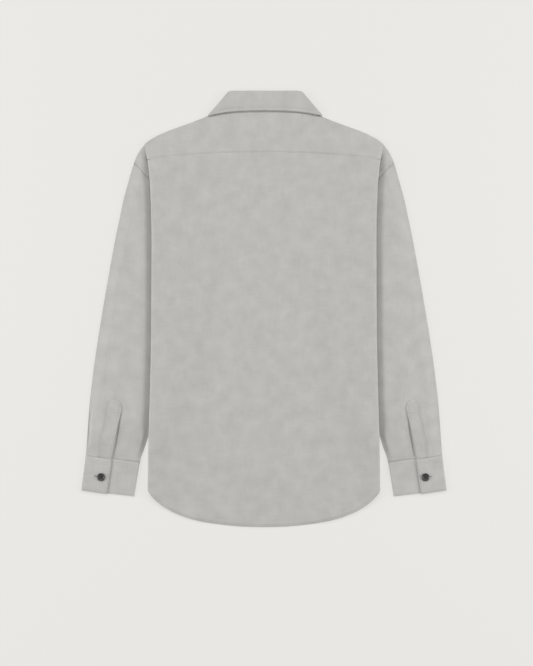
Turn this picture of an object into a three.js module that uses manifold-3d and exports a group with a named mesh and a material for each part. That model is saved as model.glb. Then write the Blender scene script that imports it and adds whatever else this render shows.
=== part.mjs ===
import * as THREE from 'three';
import Module from 'manifold-3d';

// A relaxed long-sleeved shirt, laid face down with its sides turned under and its sleeves beneath them.
// Millimetres. +X is to the right seen from above, +Y runs from hem to collar, z = 0 is the table.
// The wearer's left is on the -X side.

// Cloth
const CLOTH = 1.0; // wall of one layer
const GAP = 0.3; // space between layers and across seams
const LAYER = CLOTH + GAP;
const SLEEVE_LIFT = 2 * LAYER; // both sleeve layers, under the body
const FLAP_LIFT = 2 * LAYER; // both turned-under layers, under the front
const SLOPE = 34; // how far a layer takes to come down beside what lifts it
const CLEAR = 12; // a layer is at its full height this far before the edge that lifts it
const SPREAD = 12; // the back comes down this much wider than the front
const UNDER_COLUMNS = [14, 28, 42, 56, 70]; // columns of a turned-under side, from its fold

// The pressed side folds stand up, full of air
const PUFF = { rise: 6, wide: 125, shoulder: 6, lowY: -360, fullFromY: -200, fullToY: 255, highY: 299 };
const FRONT_INSET = 4.5; // the front's fold inside the back's
const FRONT_TURN_LOWER = 5; // its turned-under top below the back's

// Front closure
const BUTTON_RADIUS = 7.25;
const BUTTON_THICK = 2.6;
const PLACKET_HALF = 16;
const PLACKET_LIFT = BUTTON_THICK + GAP;
const PLACKET_FLAT = 2; // level this far past the placket's edge
const PLACKET_SLOPE = 42;
const PLACKET_RISES = { fromY: -375, toY: -300 }; // from the hem up to the lowest button
const PLACKET_FALLS = { fromY: 332, toY: 365 }; // from the collar button to the back of the neck
const FRONT_BUTTONS = 6;
const FIRST_BUTTON_Y = 235;
const BUTTON_PITCH = 88;
const COLLAR_BUTTON_Y = 313;

// Side folds of the body: half width at each height
const FOLD = [
  { y: -332, half: 211.8 },
  { y: -238, half: 210.2 },
  { y: -202, half: 209.1 },
  { y: -129, half: 207.0 },
  { y: -20, half: 205.2 },
  { y: 126, half: 204.6 },
  { y: 217, half: 206.8 },
  { y: 253, half: 209.7 },
  { y: 275, half: 212.6 },
  { y: 296, half: 216.1 },
];
// How far the side is turned under at each height
const TURNED_UNDER = [
  { y: 157, depth: 70 },
  { y: 204, depth: 28 },
  { y: 271, depth: 8 },
  { y: 296, depth: 0 },
];
const DEPTH_AT_YOKE = 8;
// Outer edge of shoulder and sleeve
const OUTLINE = [
  { y: -267, x: 324.7 },
  { y: -202, x: 320.3 },
  { y: -129, x: 313.1 },
  { y: -56, x: 303.0 },
  { y: 35, x: 287.9 },
  { y: 126, x: 271.5 },
  { y: 199, x: 256.1 },
  { y: 235, x: 246.3 },
  { y: 260, x: 239.0 },
  { y: 271, x: 235.3 },
  { y: 282, x: 230.2 },
  { y: 293, x: 223.6 },
  { y: 304, x: 213.2 },
];
// Inner edge of shoulder end and sleeve, under the body down to y = -225
const SLEEVE_INNER = [
  { y: -278, x: 225.7 },
  { y: -256, x: 218.6 },
  { y: -238, x: 213.3 },
  { y: -202, x: 201.1 },
  { y: -165, x: 189.3 },
  { y: -93, x: 165.6 },
  { y: -20, x: 143.8 },
  { y: 53, x: 123.8 },
  { y: 104, x: 112.5 },
  { y: 150, x: 118.0 },
  { y: 217, x: 162.4 },
  { y: 295, x: 216.1 },
];
// Rings along the sleeve: height of the outer and of the inner end of each
const SLEEVE_RINGS = [
  { outer: 266.6, inner: 149.4 },
  { outer: 235, inner: 118 },
  { outer: 195, inner: 95 },
  { outer: 150, inner: 68 },
  { outer: 105, inner: 38 },
  { outer: 55, inner: 4 },
  { outer: 0, inner: -38 },
  { outer: -50, inner: -80 },
  { outer: -95, inner: -117 },
  { outer: -135, inner: -150 },
  { outer: -175, inner: -185 },
  { outer: -210, inner: -217 },
  { outer: -238, inner: -246 },
  { outer: -266.6, inner: -277.6 },
];
// Rings of the dropped shoulder end, from the shoulder tip to the armhole seam
const SHOULDER_RINGS = [
  { outer: 300, inner: 294, rise: 2.4 },
  { outer: 294, inner: 283, rise: 0 },
  { outer: 283, inner: 228, rise: 0 },
  { outer: 267, inner: 150, rise: 0 },
];
// Shirt-tail hem, from the middle to the side corner
const HEM = [
  { x: 0, y: -397.1 },
  { x: 62, y: -394.4 },
  { x: 111, y: -387.5 },
  { x: 140, y: -380.2 },
  { x: 159, y: -372.9 },
  { x: 174, y: -365.6 },
  { x: 185, y: -358.4 },
  { x: 194, y: -351.1 },
  { x: 201.5, y: -343.8 },
  { x: 207.5, y: -336.5 },
  { x: 211.8, y: -329.5 },
];
const FRONT_SHORTER = 6; // the front hem sits inside the back hem
const SIDE_SEAM_RISE = 22; // the hem climbs from the fold to the side seam

// Seams as straight runs between rows
const YOKE_SEAM = [
  { x: 0, y: 285.9 },
  { x: 56, y: 285.0 },
  { x: 115, y: 282.3 },
  { x: 170, y: 277.0 },
  { x: 214, y: 271.2 },
];
const FRONT_TOP = [
  { x: 0, y: 300 },
  { x: 31, y: 303 },
  { x: 60, y: 313 },
  { x: 80, y: 324 },
  { x: 88, y: 330.5 },
  { x: 108, y: 315.0 },
  { x: 155, y: 296.0 },
  { x: 214, y: 266 },
];
const SHOULDER_LINE = [
  { x: 98, y: 353.2 },
  { x: 112.7, y: 347.8 },
  { x: 141.3, y: 336.9 },
  { x: 171.2, y: 326.0 },
  { x: 195.8, y: 315.0 },
  { x: 209, y: 307.0 },
  { x: 217.5, y: 300.0 },
];

// Across half the yoke: neck end and outer end of each column behind the shoulder line
const YOKE_COLUMNS = [
  { neckX: 91, neckY: 358.2, endX: 215.2, endY: 285.5 },
  { neckX: 84, neckY: 360.9, endX: 212.2, endY: 271.4 },
  { neckX: 77, neckY: 362.3, endX: 192, endY: 274.1 },
  { neckX: 70, neckY: 363.6, endX: 170, endY: 277.0 },
  { neckX: 52, neckY: 365.8, endX: 115, endY: 282.3 },
  { neckX: 38, neckY: 366.6, endX: 82, endY: 283.8 },
  { neckX: 27, neckY: 367.2, endX: 56, endY: 285.0 },
  { neckX: 16, neckY: 367.6, endX: 28, endY: 285.5 },
  { neckX: 0, neckY: 367.8, endX: 0, endY: 285.9 },
];
// Along half the collar stand, from the lapped front to the middle of the back: place on the seam, and top
const STAND_FRONT = [
  { seamX: -14, topX: -14, topY: 326.0 },
  { seamX: 4, topX: 2, topY: 325.5 },
  { seamX: 16, topX: 14, topY: 326.0 },
  { seamX: 30, topX: 27, topY: 330.5 },
  { seamX: 60, topX: 47, topY: 346.5 },
  { seamX: 80, topX: 58, topY: 364.0 },
  { seamX: 87.5, topX: 61, topY: 378.0 },
];
const STAND_SIDE = { seamX: 97.0, seamY: 357.2, topX: 66.0, topY: 392.6 };
const STAND_BACK = [
  { seamX: 91, topX: 63, topY: 394.4 },
  { seamX: 84, topX: 60, topY: 394.8 },
  { seamX: 70, topX: 50, topY: 394.8 },
  { seamX: 48, topX: 34, topY: 394.8 },
  { seamX: 24, topX: 17, topY: 394.8 },
  { seamX: 0, topX: 0, topY: 394.8 },
];
// Along half the collar fall, from the front edge to the middle of the back: fold over the stand, and edge
const FALL_FRONT = [
  { topX: 18.5, topY: 329.0, edgeX: 48, edgeY: 262.0 },
  { topX: 33, topY: 337.5, edgeX: 62, edgeY: 284.0 },
  { topX: 46.5, topY: 350.0, edgeX: 76, edgeY: 306.0 },
  { topX: 58, topY: 368.0, edgeX: 90, edgeY: 328.0 },
];
const FALL_SIDE = { topX: 68.8, topY: 394.6, edgeX: 105.4, edgeY: 353.0 };
const FALL_BACK = [
  { topX: 60, topY: 397.0, edgeX: 92, edgeY: 355.6 },
  { topX: 48, topY: 397.1, edgeX: 74, edgeY: 359.0 },
  { topX: 32, topY: 397.1, edgeX: 50, edgeY: 360.8 },
  { topX: 16, topY: 397.1, edgeX: 25, edgeY: 361.7 },
  { topX: 0, topY: 397.1, edgeX: 0, edgeY: 361.9 },
];
const FALL_ROWS = [0, 0.1, 0.3, 0.65, 1]; // from the fold to the edge
const FALL_ROLL = 0.1; // share of the fall in its rolled fold
const FALL_FOLD_LIFT = 0.6; // height of that fold, as a share of a layer
const COLLAR_WIDEST = 105; // past this the collar keeps its height
// Where the leaves lie under the fronts, and where the fronts come down to the table beside them
const LEAF = { lowY: 228, fullY: 258, fullX: 107, clearX: 140 };
// The right end of the stand laps the left one up to here
const STAND_LAP = { fromX: 15, toX: 32 };

// Cuff corners, and what is sewn on it
const CUFF = {
  outerTop: { x: 324.7, y: -267.0 },
  innerTop: { x: 227.0, y: -278.0 },
  outerEnd: { x: 333.1, y: -329.2 },
  innerEnd: { x: 236.6, y: -340.2 },
  wall: 1.2,
  lapEdge: 0.515, // share of the width that the lapped end covers
  underEnd: 0.24, // how far the end beneath it reaches
  buttonAcross: 0.346,
  buttonDown: 0.55,
};
// Sleeve placket, from its pointed top to the cuff
const SLEEVE_PLACKET = {
  innerTop: { x: 257.0, y: -176.7 },
  outerTop: { x: 283.2, y: -181.1 },
  innerEnd: { x: 273.8, y: -268.6 },
  outerEnd: { x: 298.6, y: -266.3 },
  arch: 9,
};
// How much the uncovered sleeve stands up, and where it does so, from the body's fold and from its outer edge
const CROWN = { rise: 2.6, fromFold: 14, fullFromFold: 42, fromEdge: 1, fullFromEdge: 20 };

const GREY_CLOTH = 0xbbbab6;
const BUTTON_DARK = 0x4a4843;

const clamp = THREE.MathUtils.clamp;
const lerp = THREE.MathUtils.lerp;

function ramp(value, from, to) {
  const t = clamp((value - from) / (to - from), 0, 1);
  return t * t * (3 - 2 * t);
}

// Straight runs through a table's rows
function straight(rows, input, output) {
  return (value) => {
    let k = 1;
    while (k < rows.length - 1 && rows[k][input] < value) k++;
    const [a, b] = [rows[k - 1], rows[k]];
    const t = clamp((value - a[input]) / (b[input] - a[input]), 0, 1);
    return lerp(a[output], b[output], t);
  };
}

const foldHalf = straight(FOLD, 'y', 'half');
const turnedUnder = straight(TURNED_UNDER, 'y', 'depth');
const outlineX = straight(OUTLINE, 'y', 'x');
const sleeveInnerX = straight(SLEEVE_INNER, 'y', 'x');
const hemY = straight(HEM, 'x', 'y');
const yokeSeamY = straight(YOKE_SEAM, 'x', 'y');
const frontTopY = straight(FRONT_TOP, 'x', 'y');
const shoulderY = straight(SHOULDER_LINE, 'x', 'y');
const neckY = straight(YOKE_COLUMNS.toReversed(), 'neckX', 'neckY');
const turnedTopY = straight(TURNED_UNDER.toReversed(), 'depth', 'y');

// Heights of the layers over the table, at |x| = across and y

function sleeveLift(across, y, spread = 0) {
  const edge = sleeveInnerX(y) - CLEAR - spread;
  return SLEEVE_LIFT * ramp(across, edge - SLOPE, edge);
}

function flapLift(across, y, spread = 0) {
  const depth = turnedUnder(y);
  const edge = foldHalf(y) - depth - CLEAR - spread;
  return FLAP_LIFT * ramp(across, edge - SLOPE, edge) * ramp(depth, 0, DEPTH_AT_YOKE);
}

// Over the collar's leaves
function leafLift(across, y, spread = 0) {
  const under = 1 - ramp(across, LEAF.fullX + spread, LEAF.clearX + 2 * spread);
  return LAYER * ramp(y, LEAF.lowY, LEAF.fullY) * under;
}

// Over the buttons, and with over = LAYER over the placket too
function closureLift(across, y, over = 0, spread = 0) {
  const level = PLACKET_HALF + spread;
  const beside = 1 - ramp(across, level + PLACKET_FLAT, level + PLACKET_SLOPE);
  const buttons = PLACKET_LIFT * ramp(y, PLACKET_RISES.fromY, PLACKET_RISES.toY);
  return (buttons + over) * beside * (1 - ramp(y, PLACKET_FALLS.fromY, PLACKET_FALLS.toY));
}

// Under side of the main front layer
function frontBase(across, y, over = 0, spread = 0) {
  const lifted = sleeveLift(across, y, spread) + flapLift(across, y, spread);
  return Math.max(lifted, leafLift(across, y, spread), closureLift(across, y, over, spread));
}

// Air in the side folds
function foldPuff(across, y) {
  const fold = foldHalf(y);
  const along = ramp(y, PUFF.lowY, PUFF.fullFromY) * (1 - ramp(y, PUFF.fullToY, PUFF.highY));
  return PUFF.rise * ramp(across, fold - PUFF.wide, fold - PUFF.shoulder) * along;
}

// Under side of the back, the yoke and the back of the stand
function backBase(across, y) {
  return frontBase(across, y, LAYER, SPREAD) + LAYER + foldPuff(across, y);
}

// Upper side of the sleeve: pressed flat under the body, a little full beside it
function sleeveTop(across, y) {
  const inner = Math.max(foldHalf(y), sleeveInnerX(y));
  const fromFold = ramp(across - inner, CROWN.fromFold, CROWN.fullFromFold);
  const fromEdge = ramp(outlineX(y) - across, CROWN.fromEdge, CROWN.fullFromEdge);
  return SLEEVE_LIFT - GAP + CROWN.rise * fromFold * fromEdge;
}

// Solids

// One solid between two matching grids of points, grid[column][row] = [x, y, z]
function wall(near, far, ring = false) {
  const columns = near.length;
  const rows = near[0].length;
  const points = [...near.flat(), ...far.flat()];
  const at = (face, column, row) => (face * columns + (column % columns)) * rows + row;
  const triangles = [];
  const quad = (a, b, c, d) => triangles.push(a, b, c, a, c, d);
  const spans = ring ? columns : columns - 1;
  for (let c = 0; c < spans; c++) {
    for (let r = 0; r < rows - 1; r++) {
      quad(at(0, c, r), at(0, c + 1, r), at(0, c + 1, r + 1), at(0, c, r + 1));
      quad(at(1, c, r), at(1, c, r + 1), at(1, c + 1, r + 1), at(1, c + 1, r));
    }
    quad(at(0, c, 0), at(1, c, 0), at(1, c + 1, 0), at(0, c + 1, 0));
    quad(at(0, c, rows - 1), at(0, c + 1, rows - 1), at(1, c + 1, rows - 1), at(1, c, rows - 1));
  }
  if (!ring) {
    for (let r = 0; r < rows - 1; r++) {
      quad(at(0, 0, r), at(0, 0, r + 1), at(1, 0, r + 1), at(1, 0, r));
      const last = columns - 1;
      quad(at(0, last, r), at(1, last, r), at(1, last, r + 1), at(0, last, r + 1));
    }
  }
  return outward(points, triangles);
}

// A geometry whose faces point out, whichever way its grid ran
function outward(points, triangles) {
  let volume = 0;
  const [a, b, c] = [new THREE.Vector3(), new THREE.Vector3(), new THREE.Vector3()];
  for (let k = 0; k < triangles.length; k += 3) {
    a.fromArray(points[triangles[k]]);
    b.fromArray(points[triangles[k + 1]]);
    c.fromArray(points[triangles[k + 2]]);
    volume += a.dot(b.cross(c));
  }
  const geometry = new THREE.BufferGeometry();
  geometry.setAttribute('position', new THREE.Float32BufferAttribute(points.flat(), 3));
  geometry.setIndex(volume > 0 ? triangles : triangles.toReversed());
  geometry.computeVertexNormals();
  return geometry;
}

// The near and far point of one column of a turned edge, at an angle from -90 (beneath) to 90 (on top)
// edge and inward are in plan; low and high are the outer heights beneath and on top
function turned(edge, inward, angle, low, high, thick = CLOTH) {
  const radius = (high - low) / 2;
  const turn = THREE.MathUtils.degToRad(angle);
  const place = (r) => {
    const back = radius - r * Math.cos(turn);
    return [edge.x + inward.x * back, edge.y + inward.y * back, (low + high) / 2 + r * Math.sin(turn)];
  };
  return [place(radius), place(radius - thick)];
}

const TURN_ANGLES = [-90, -45, 0, 45, 90];

function steps(count) {
  return Array.from({ length: count + 1 }, (_, k) => k / count);
}

// Body panels

// Heights shared by the body's panels, so that layers run parallel
const LEVELS = [240, 205, 170, 130, 80, 30, -20, -75, -130, -180, -215, -250, -300];
const LEAST_STEP = 0.8;

function levels(top, hem) {
  const found = [top, (top + LEVELS[0]) / 2, ...LEVELS, (LEVELS.at(-1) + hem) / 2, hem];
  for (let k = 1; k < found.length; k++) found[k] = Math.min(found[k], found[k - 1] - LEAST_STEP);
  return found;
}

// Columns from the middle to the side fold: a place at x, or past 170 a share of the way to the fold
const FLATS = [18, 31, 45, 60, 80, 88, 108, 124, 140, 155, 170];
const FLAT_SHARES = [0.3, 0.55, 0.76, 0.9, 1];
const LAST_FLAT = FLATS.at(-1);
const HEM_CORNER = HEM.at(-1).y;
const SEAM_CORNER = YOKE_SEAM.at(-1).y;
const BEND_GAP = 1; // from the last flat column to the first of the bend

// Columns of a panel that is turned under at one side, from its inner end to its side seam
function sidePanel({ side, inner, base, top, hem, turnedTop, low, high, inset }) {
  const [near, far] = [[], []];
  const column = (from, to, place) => {
    const pairs = levels(from, to).map((y) => place(y).map(([x, py, z]) => [side * x, py, z]));
    near.push(pairs.map(([point]) => point));
    far.push(pairs.map(([, point]) => point));
  };
  const edgeAt = (y) => foldHalf(y) - inset;
  const bendAt = (y) => (high(edgeAt(y), y) - low(edgeAt(y), y)) / 2;
  const flat = (across) =>
    column(top(across(SEAM_CORNER)), hem(across(HEM_CORNER)), (y) => {
      const x = across(y);
      const z = base(x, y);
      return [[x, y, z + CLOTH], [x, y, z]];
    });
  for (const x of [...inner, ...FLATS]) flat(() => x);
  for (const share of FLAT_SHARES) flat((y) => lerp(LAST_FLAT, edgeAt(y) - bendAt(y) - BEND_GAP, share));
  for (const angle of TURN_ANGLES.toReversed()) {
    column(turnedTop(0), hem(edgeAt(HEM_CORNER)), (y) => {
      const x = edgeAt(y);
      return turned({ x, y }, { x: -1, y: 0 }, angle, low(x, y), high(x, y));
    });
  }
  for (const depth of UNDER_COLUMNS) {
    const end = hem(foldHalf(HEM_CORNER)) + (SIDE_SEAM_RISE * depth) / UNDER_COLUMNS.at(-1);
    column(turnedTop(depth), end, (y) => {
      const x = foldHalf(y) - depth;
      const z = low(x, y);
      return [[x, y, z], [x, y, z + CLOTH]];
    });
  }
  return side > 0 ? { near, far } : { near: near.toReversed(), far: far.toReversed() };
}

function backPanel() {
  const half = (side, inner) =>
    sidePanel({
      side,
      inner,
      inset: 0,
      base: backBase,
      top: (x) => yokeSeamY(x) - GAP,
      hem: hemY,
      turnedTop: (depth) => turnedTopY(Math.max(depth, DEPTH_AT_YOKE)) - GAP,
      low: sleeveLift,
      high: (x, y) => backBase(x, y) + CLOTH,
    });
  const [left, right] = [half(-1, []), half(1, [0])];
  return wall([...left.near, ...right.near], [...left.far, ...right.far]);
}

// The left front ends at the placket, the right front passes over it
function front(side) {
  const over = side > 0 ? LAYER : 0;
  const panel = sidePanel({
    side,
    inner: side > 0 ? [-PLACKET_HALF, 0] : [PLACKET_HALF + GAP],
    inset: FRONT_INSET,
    base: (x, y) => frontBase(Math.abs(x), y, over),
    top: (x) => frontTopY(Math.abs(x)) - GAP,
    hem: (x) => hemY(Math.abs(x)) + FRONT_SHORTER,
    turnedTop: (depth) => turnedTopY(Math.max(depth, DEPTH_AT_YOKE)) - GAP - FRONT_TURN_LOWER,
    low: (x, y) => sleeveLift(x, y) + LAYER,
    high: (x, y) => frontBase(x, y) + CLOTH,
  });
  return wall(panel.near, panel.far);
}

function placket() {
  const across = steps(4).map((share) => lerp(-PLACKET_HALF, PLACKET_HALF, share));
  const rows = (x) => levels(frontTopY(Math.abs(x)) - GAP, hemY(Math.abs(x)) + FRONT_SHORTER);
  const grid = (up) => across.map((x) => rows(x).map((y) => [x, y, closureLift(0, y) + up]));
  return wall(grid(0), grid(CLOTH));
}

// Sleeves and shoulder ends, as flattened rings

const RING_BOTTOM = [0, 0.25, 0.5, 0.75, 1];
const RING_TOP = [1, 0.85, 0.7, 0.58, 0.46, 0.34, 0.22, 0.1, 0];

function flatTube(side, stations, top) {
  const [near, far] = [[], []];
  const column = (place) => {
    const pairs = stations.map((station) => {
      const from = new THREE.Vector2(outlineX(station.outer), station.outer);
      const to = new THREE.Vector2(sleeveInnerX(station.inner), station.inner);
      const [outer, inner] = place(from, to, station);
      return [outer, inner].map(([x, y, z]) => [side * x, y, z]);
    });
    near.push(pairs.map(([point]) => point));
    far.push(pairs.map(([, point]) => point));
  };
  const flatRadius = (SLEEVE_LIFT - GAP) / 2;
  const flatPoint = (from, to, share, height) => {
    const width = from.distanceTo(to);
    const radius = Math.min(flatRadius, width / 3);
    const plan = from.clone().lerp(to, lerp(radius, width - radius, share) / width);
    return [plan.x, plan.y, height(plan)];
  };
  const arc = (angle, atInner) => (from, to, station) => {
    const edge = atInner ? to : from;
    const inward = (atInner ? from.clone().sub(to) : to.clone().sub(from)).normalize();
    return turned(edge, inward, angle, 0, top(edge, station));
  };
  for (const share of RING_BOTTOM) {
    column((from, to) => [
      flatPoint(from, to, share, () => 0),
      flatPoint(from, to, share, () => CLOTH),
    ]);
  }
  for (const angle of [-45, 0, 45]) column(arc(angle, true));
  for (const share of RING_TOP) {
    column((from, to, station) => [
      flatPoint(from, to, share, (plan) => top(plan, station)),
      flatPoint(from, to, share, (plan) => top(plan, station) - CLOTH),
    ]);
  }
  for (const angle of [45, 0, -45]) column(arc(angle, false));
  return wall(near, far, true);
}

function sleeve(side) {
  return flatTube(side, SLEEVE_RINGS, (plan) => sleeveTop(plan.x, plan.y));
}

function shoulderEnd(side) {
  return flatTube(side, SHOULDER_RINGS, (plan, ring) => sleeveTop(plan.x, plan.y) + ring.rise);
}

// Yoke

const YOKE_ROWS = steps(7);
const STRIP_X = [88, 108, 124, 140, 155, 170, 190, 205]; // places along the front seam, one for each row
const SHOULDER_FROM = SHOULDER_LINE[0].x;
const SHOULDER_TO = SHOULDER_LINE.at(-1).x;
const SHOULDER_INWARD = new THREE.Vector2(-0.36, -1).normalize();

function yokeWrap() {
  const half = (side) => {
    const [near, far] = [[], []];
    const column = (place) => {
      const pairs = YOKE_ROWS.map(place).map((pair) => pair.map(([x, y, z]) => [side * x, y, z]));
      near.push(pairs.map(([point]) => point));
      far.push(pairs.map(([, point]) => point));
    };
    const frontLow = (x, y) => Math.max(leafLift(x, y), sleeveLift(x, y));
    column((row, k) => {
      const x = STRIP_X[k];
      const y = frontTopY(x) + GAP;
      return [[x, y, frontLow(x, y)], [x, y, frontLow(x, y) + CLOTH]];
    });
    for (const angle of TURN_ANGLES) {
      column((row) => {
        const x = lerp(SHOULDER_FROM, SHOULDER_TO, row);
        const y = shoulderY(x);
        return turned({ x, y }, SHOULDER_INWARD, angle, frontLow(x, y), backBase(x, y) + CLOTH);
      });
    }
    for (const { neckX, neckY, endX, endY } of YOKE_COLUMNS.slice(0, -1)) {
      column((row) => {
        const [x, y] = [lerp(neckX, endX, row), lerp(neckY, endY, row)];
        return [[x, y, backBase(x, y) + CLOTH], [x, y, backBase(x, y)]];
      });
    }
    return { near, far };
  };
  const [left, right] = [half(-1), half(1)];
  const { neckY, endY } = YOKE_COLUMNS.at(-1);
  const centreYs = YOKE_ROWS.map((row) => lerp(neckY, endY, row));
  const middle = (up) => [centreYs.map((y) => [0, y, backBase(0, y) + up])];
  return wall(
    [...left.near, ...middle(CLOTH), ...right.near.toReversed()],
    [...left.far, ...middle(0), ...right.far.toReversed()],
  );
}

// Collar

// Columns of half a collar piece, from its front end to the middle of its back
function collarHalf({ side, front, turn, back, frontLow, backHigh, ends, rows }) {
  const [near, far] = [[], []];
  const column = (place) => {
    const pairs = rows.map(place).map((pair) => pair.map(([x, y, z]) => [side * x, y, z]));
    near.push(pairs.map(([point]) => point));
    far.push(pairs.map(([, point]) => point));
  };
  const plan = (entry, row) => {
    const { from, to } = ends(entry);
    return { x: lerp(from.x, to.x, row), y: lerp(from.y, to.y, row) };
  };
  for (const entry of front) {
    column((row) => {
      const { x, y } = plan(entry, row);
      const z = frontLow(x, y, row);
      return [[x, y, z], [x, y, z + CLOTH]];
    });
  }
  const { from, to } = ends(turn);
  const inward = new THREE.Vector2(-Math.abs(to.y - from.y), -Math.abs(to.x - from.x)).normalize();
  for (const angle of TURN_ANGLES) {
    column((row) => {
      const { x, y } = plan(turn, row);
      return turned({ x, y }, inward, angle, frontLow(x, y, row), backHigh(x, y, row));
    });
  }
  for (const entry of back) {
    column((row) => {
      const { x, y } = plan(entry, row);
      const z = backHigh(x, y, row);
      return [[x, y, z], [x, y, z - CLOTH]];
    });
  }
  return { near, far };
}

function joinHalves(left, right) {
  return wall(
    [...left.near, ...right.near.slice(0, -1).toReversed()],
    [...left.far, ...right.far.slice(0, -1).toReversed()],
  );
}

function stand() {
  const lapped = (x, y) => Math.max(leafLift(x, y), closureLift(x, y));
  const frontSeam = (x) => frontTopY(Math.abs(x)) + GAP;
  const backSeam = (x) => neckY(x) + 2 * GAP;
  const half = (side) => {
    const over = side > 0 ? LAYER : 0;
    return collarHalf({
      side,
      rows: steps(3),
      front: STAND_FRONT.map((row) => ({ ...row, seamY: frontSeam(row.seamX) })),
      turn: STAND_SIDE,
      back: STAND_BACK.map((row) => ({ ...row, seamY: backSeam(row.seamX) })),
      ends: (e) => ({ from: { x: e.seamX, y: e.seamY }, to: { x: e.topX, y: e.topY } }),
      frontLow: (x, y) => lapped(Math.abs(x), y) + over * (1 - ramp(x, STAND_LAP.fromX, STAND_LAP.toX)),
      backHigh: (x, y) => backBase(Math.min(x, COLLAR_WIDEST), y) + CLOTH,
    });
  };
  return joinHalves(half(-1), half(1));
}

function fall() {
  const lifted = (row) => LAYER * lerp(FALL_FOLD_LIFT, 1, ramp(row, 0, FALL_ROLL));
  const half = (side) =>
    collarHalf({
      side,
      rows: FALL_ROWS,
      front: FALL_FRONT,
      turn: FALL_SIDE,
      back: FALL_BACK,
      ends: (e) => ({ from: { x: e.topX, y: e.topY }, to: { x: e.edgeX, y: e.edgeY } }),
      frontLow: () => 0,
      backHigh: (x, y, row) => backBase(Math.min(x, COLLAR_WIDEST), y) + CLOTH + lifted(row),
    });
  return joinHalves(half(-1), half(1));
}

// Cuffs and sleeve plackets

// A coordinate inside four corners: across 0 at the inner side, down 0 at the top
function between({ innerTop, outerTop, innerEnd, outerEnd }, key, across, down) {
  const top = lerp(innerTop[key], outerTop[key], across);
  const end = lerp(innerEnd[key], outerEnd[key], across);
  return lerp(top, end, down);
}

function cuffPoint(across, down) {
  return new THREE.Vector2(between(CUFF, 'x', 1 - across, down), between(CUFF, 'y', 1 - across, down));
}

// Columns across the cuff: the lapped end, the layer on the table and the end beneath
const CUFF_LAP_COLUMNS = [CUFF.lapEdge, 0.4, 0.25, 0.1];
const CUFF_TABLE_COLUMNS = [0.1, 0.35, 0.65, 0.9];
const CUFF_UNDER_COLUMNS = [0.9, 0.7, 0.45, CUFF.underEnd];
// Outer heights of the end beneath and of the lapped end
const CUFF_UNDER_TOP = 2 * CUFF.wall + GAP;
const CUFF_LAP_TOP = 3 * CUFF.wall + 2 * GAP;

function cuff(side) {
  const [near, far] = [[], []];
  const column = (place) => {
    const pairs = steps(3).map((down) => place(down).map(([x, y, z]) => [side * x, y, z]));
    near.push(pairs.map(([point]) => point));
    far.push(pairs.map(([, point]) => point));
  };
  const flat = (across, outer, inner) =>
    column((down) => {
      const plan = cuffPoint(across, down);
      return [[plan.x, plan.y, outer], [plan.x, plan.y, inner]];
    });
  const round = (across, inward, angle, high) =>
    column((down) => turned(cuffPoint(across, down), { x: inward, y: 0 }, angle, 0, high, CUFF.wall));
  for (const across of CUFF_LAP_COLUMNS) flat(across, CUFF_LAP_TOP, CUFF_LAP_TOP - CUFF.wall);
  for (const angle of TURN_ANGLES.toReversed()) round(0, -1, angle, CUFF_LAP_TOP);
  for (const across of CUFF_TABLE_COLUMNS) flat(across, 0, CUFF.wall);
  for (const angle of TURN_ANGLES) round(1, 1, angle, CUFF_UNDER_TOP);
  for (const across of CUFF_UNDER_COLUMNS) flat(across, CUFF_UNDER_TOP, CUFF_UNDER_TOP - CUFF.wall);
  return wall(near, far);
}

function sleevePlacket(side) {
  const { arch } = SLEEVE_PLACKET;
  const grid = (up) =>
    steps(4).map((across) =>
      steps(6).map((down) => {
        const x = between(SLEEVE_PLACKET, 'x', across, down);
        const y = between(SLEEVE_PLACKET, 'y', across, down) + arch * Math.sin(Math.PI * across) * (1 - down);
        return [side * x, y, sleeveTop(x, y) + GAP + up];
      }),
    );
  return wall(grid(0), grid(CLOTH));
}

// Buttons

const wasm = await Module();
wasm.setup();

function solid(geometry) {
  return new wasm.Manifold(
    new wasm.Mesh({
      numProp: 3,
      vertProperties: new Float32Array(geometry.getAttribute('position').array),
      triVerts: new Uint32Array(geometry.index.array),
    }),
  );
}

function geometryOf(manifold) {
  const mesh = manifold.getMesh();
  const geometry = new THREE.BufferGeometry();
  geometry.setAttribute('position', new THREE.Float32BufferAttribute(mesh.vertProperties, 3));
  geometry.setIndex([...mesh.triVerts]);
  geometry.computeVertexNormals();
  return geometry;
}

// A rimmed disc with a dished face, its face up
const BUTTON_PROFILE = [
  { radius: 0, height: 0 },
  { radius: 6.3, height: 0 },
  { radius: BUTTON_RADIUS, height: 1.0 },
  { radius: BUTTON_RADIUS, height: 2.0 },
  { radius: 6.6, height: BUTTON_THICK },
  { radius: 5.6, height: 2.3 },
  { radius: 4.8, height: 1.7 },
  { radius: 0, height: 1.5 },
];
const PLAIN_PROFILE = BUTTON_PROFILE.toSpliced(5, 1); // the hidden buttons have one step less
const BUTTON_SIDES = 16;
const PLAIN_SIDES = 12;
const DRILL_SIDES = 6;
const DRILL_PAST = 1;
const HOLE_RADIUS = 0.9;
const HOLE_OFFSET = 1.7;

function latheSolid(profile, sides) {
  const points = [[0, 0, profile[0].height]];
  const body = profile.slice(1, -1);
  for (const { radius, height } of body) {
    for (let k = 0; k < sides; k++) {
      const turn = (2 * Math.PI * k) / sides;
      points.push([radius * Math.cos(turn), radius * Math.sin(turn), height]);
    }
  }
  points.push([0, 0, profile.at(-1).height]);
  const at = (ring, k) => 1 + ring * sides + (k % sides);
  const triangles = [];
  for (let k = 0; k < sides; k++) {
    triangles.push(0, at(0, k + 1), at(0, k));
    for (let ring = 0; ring < body.length - 1; ring++) {
      triangles.push(at(ring, k), at(ring, k + 1), at(ring + 1, k + 1));
      triangles.push(at(ring, k), at(ring + 1, k + 1), at(ring + 1, k));
    }
    triangles.push(at(body.length - 1, k), at(body.length - 1, k + 1), points.length - 1);
  }
  return outward(points, triangles);
}

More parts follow.
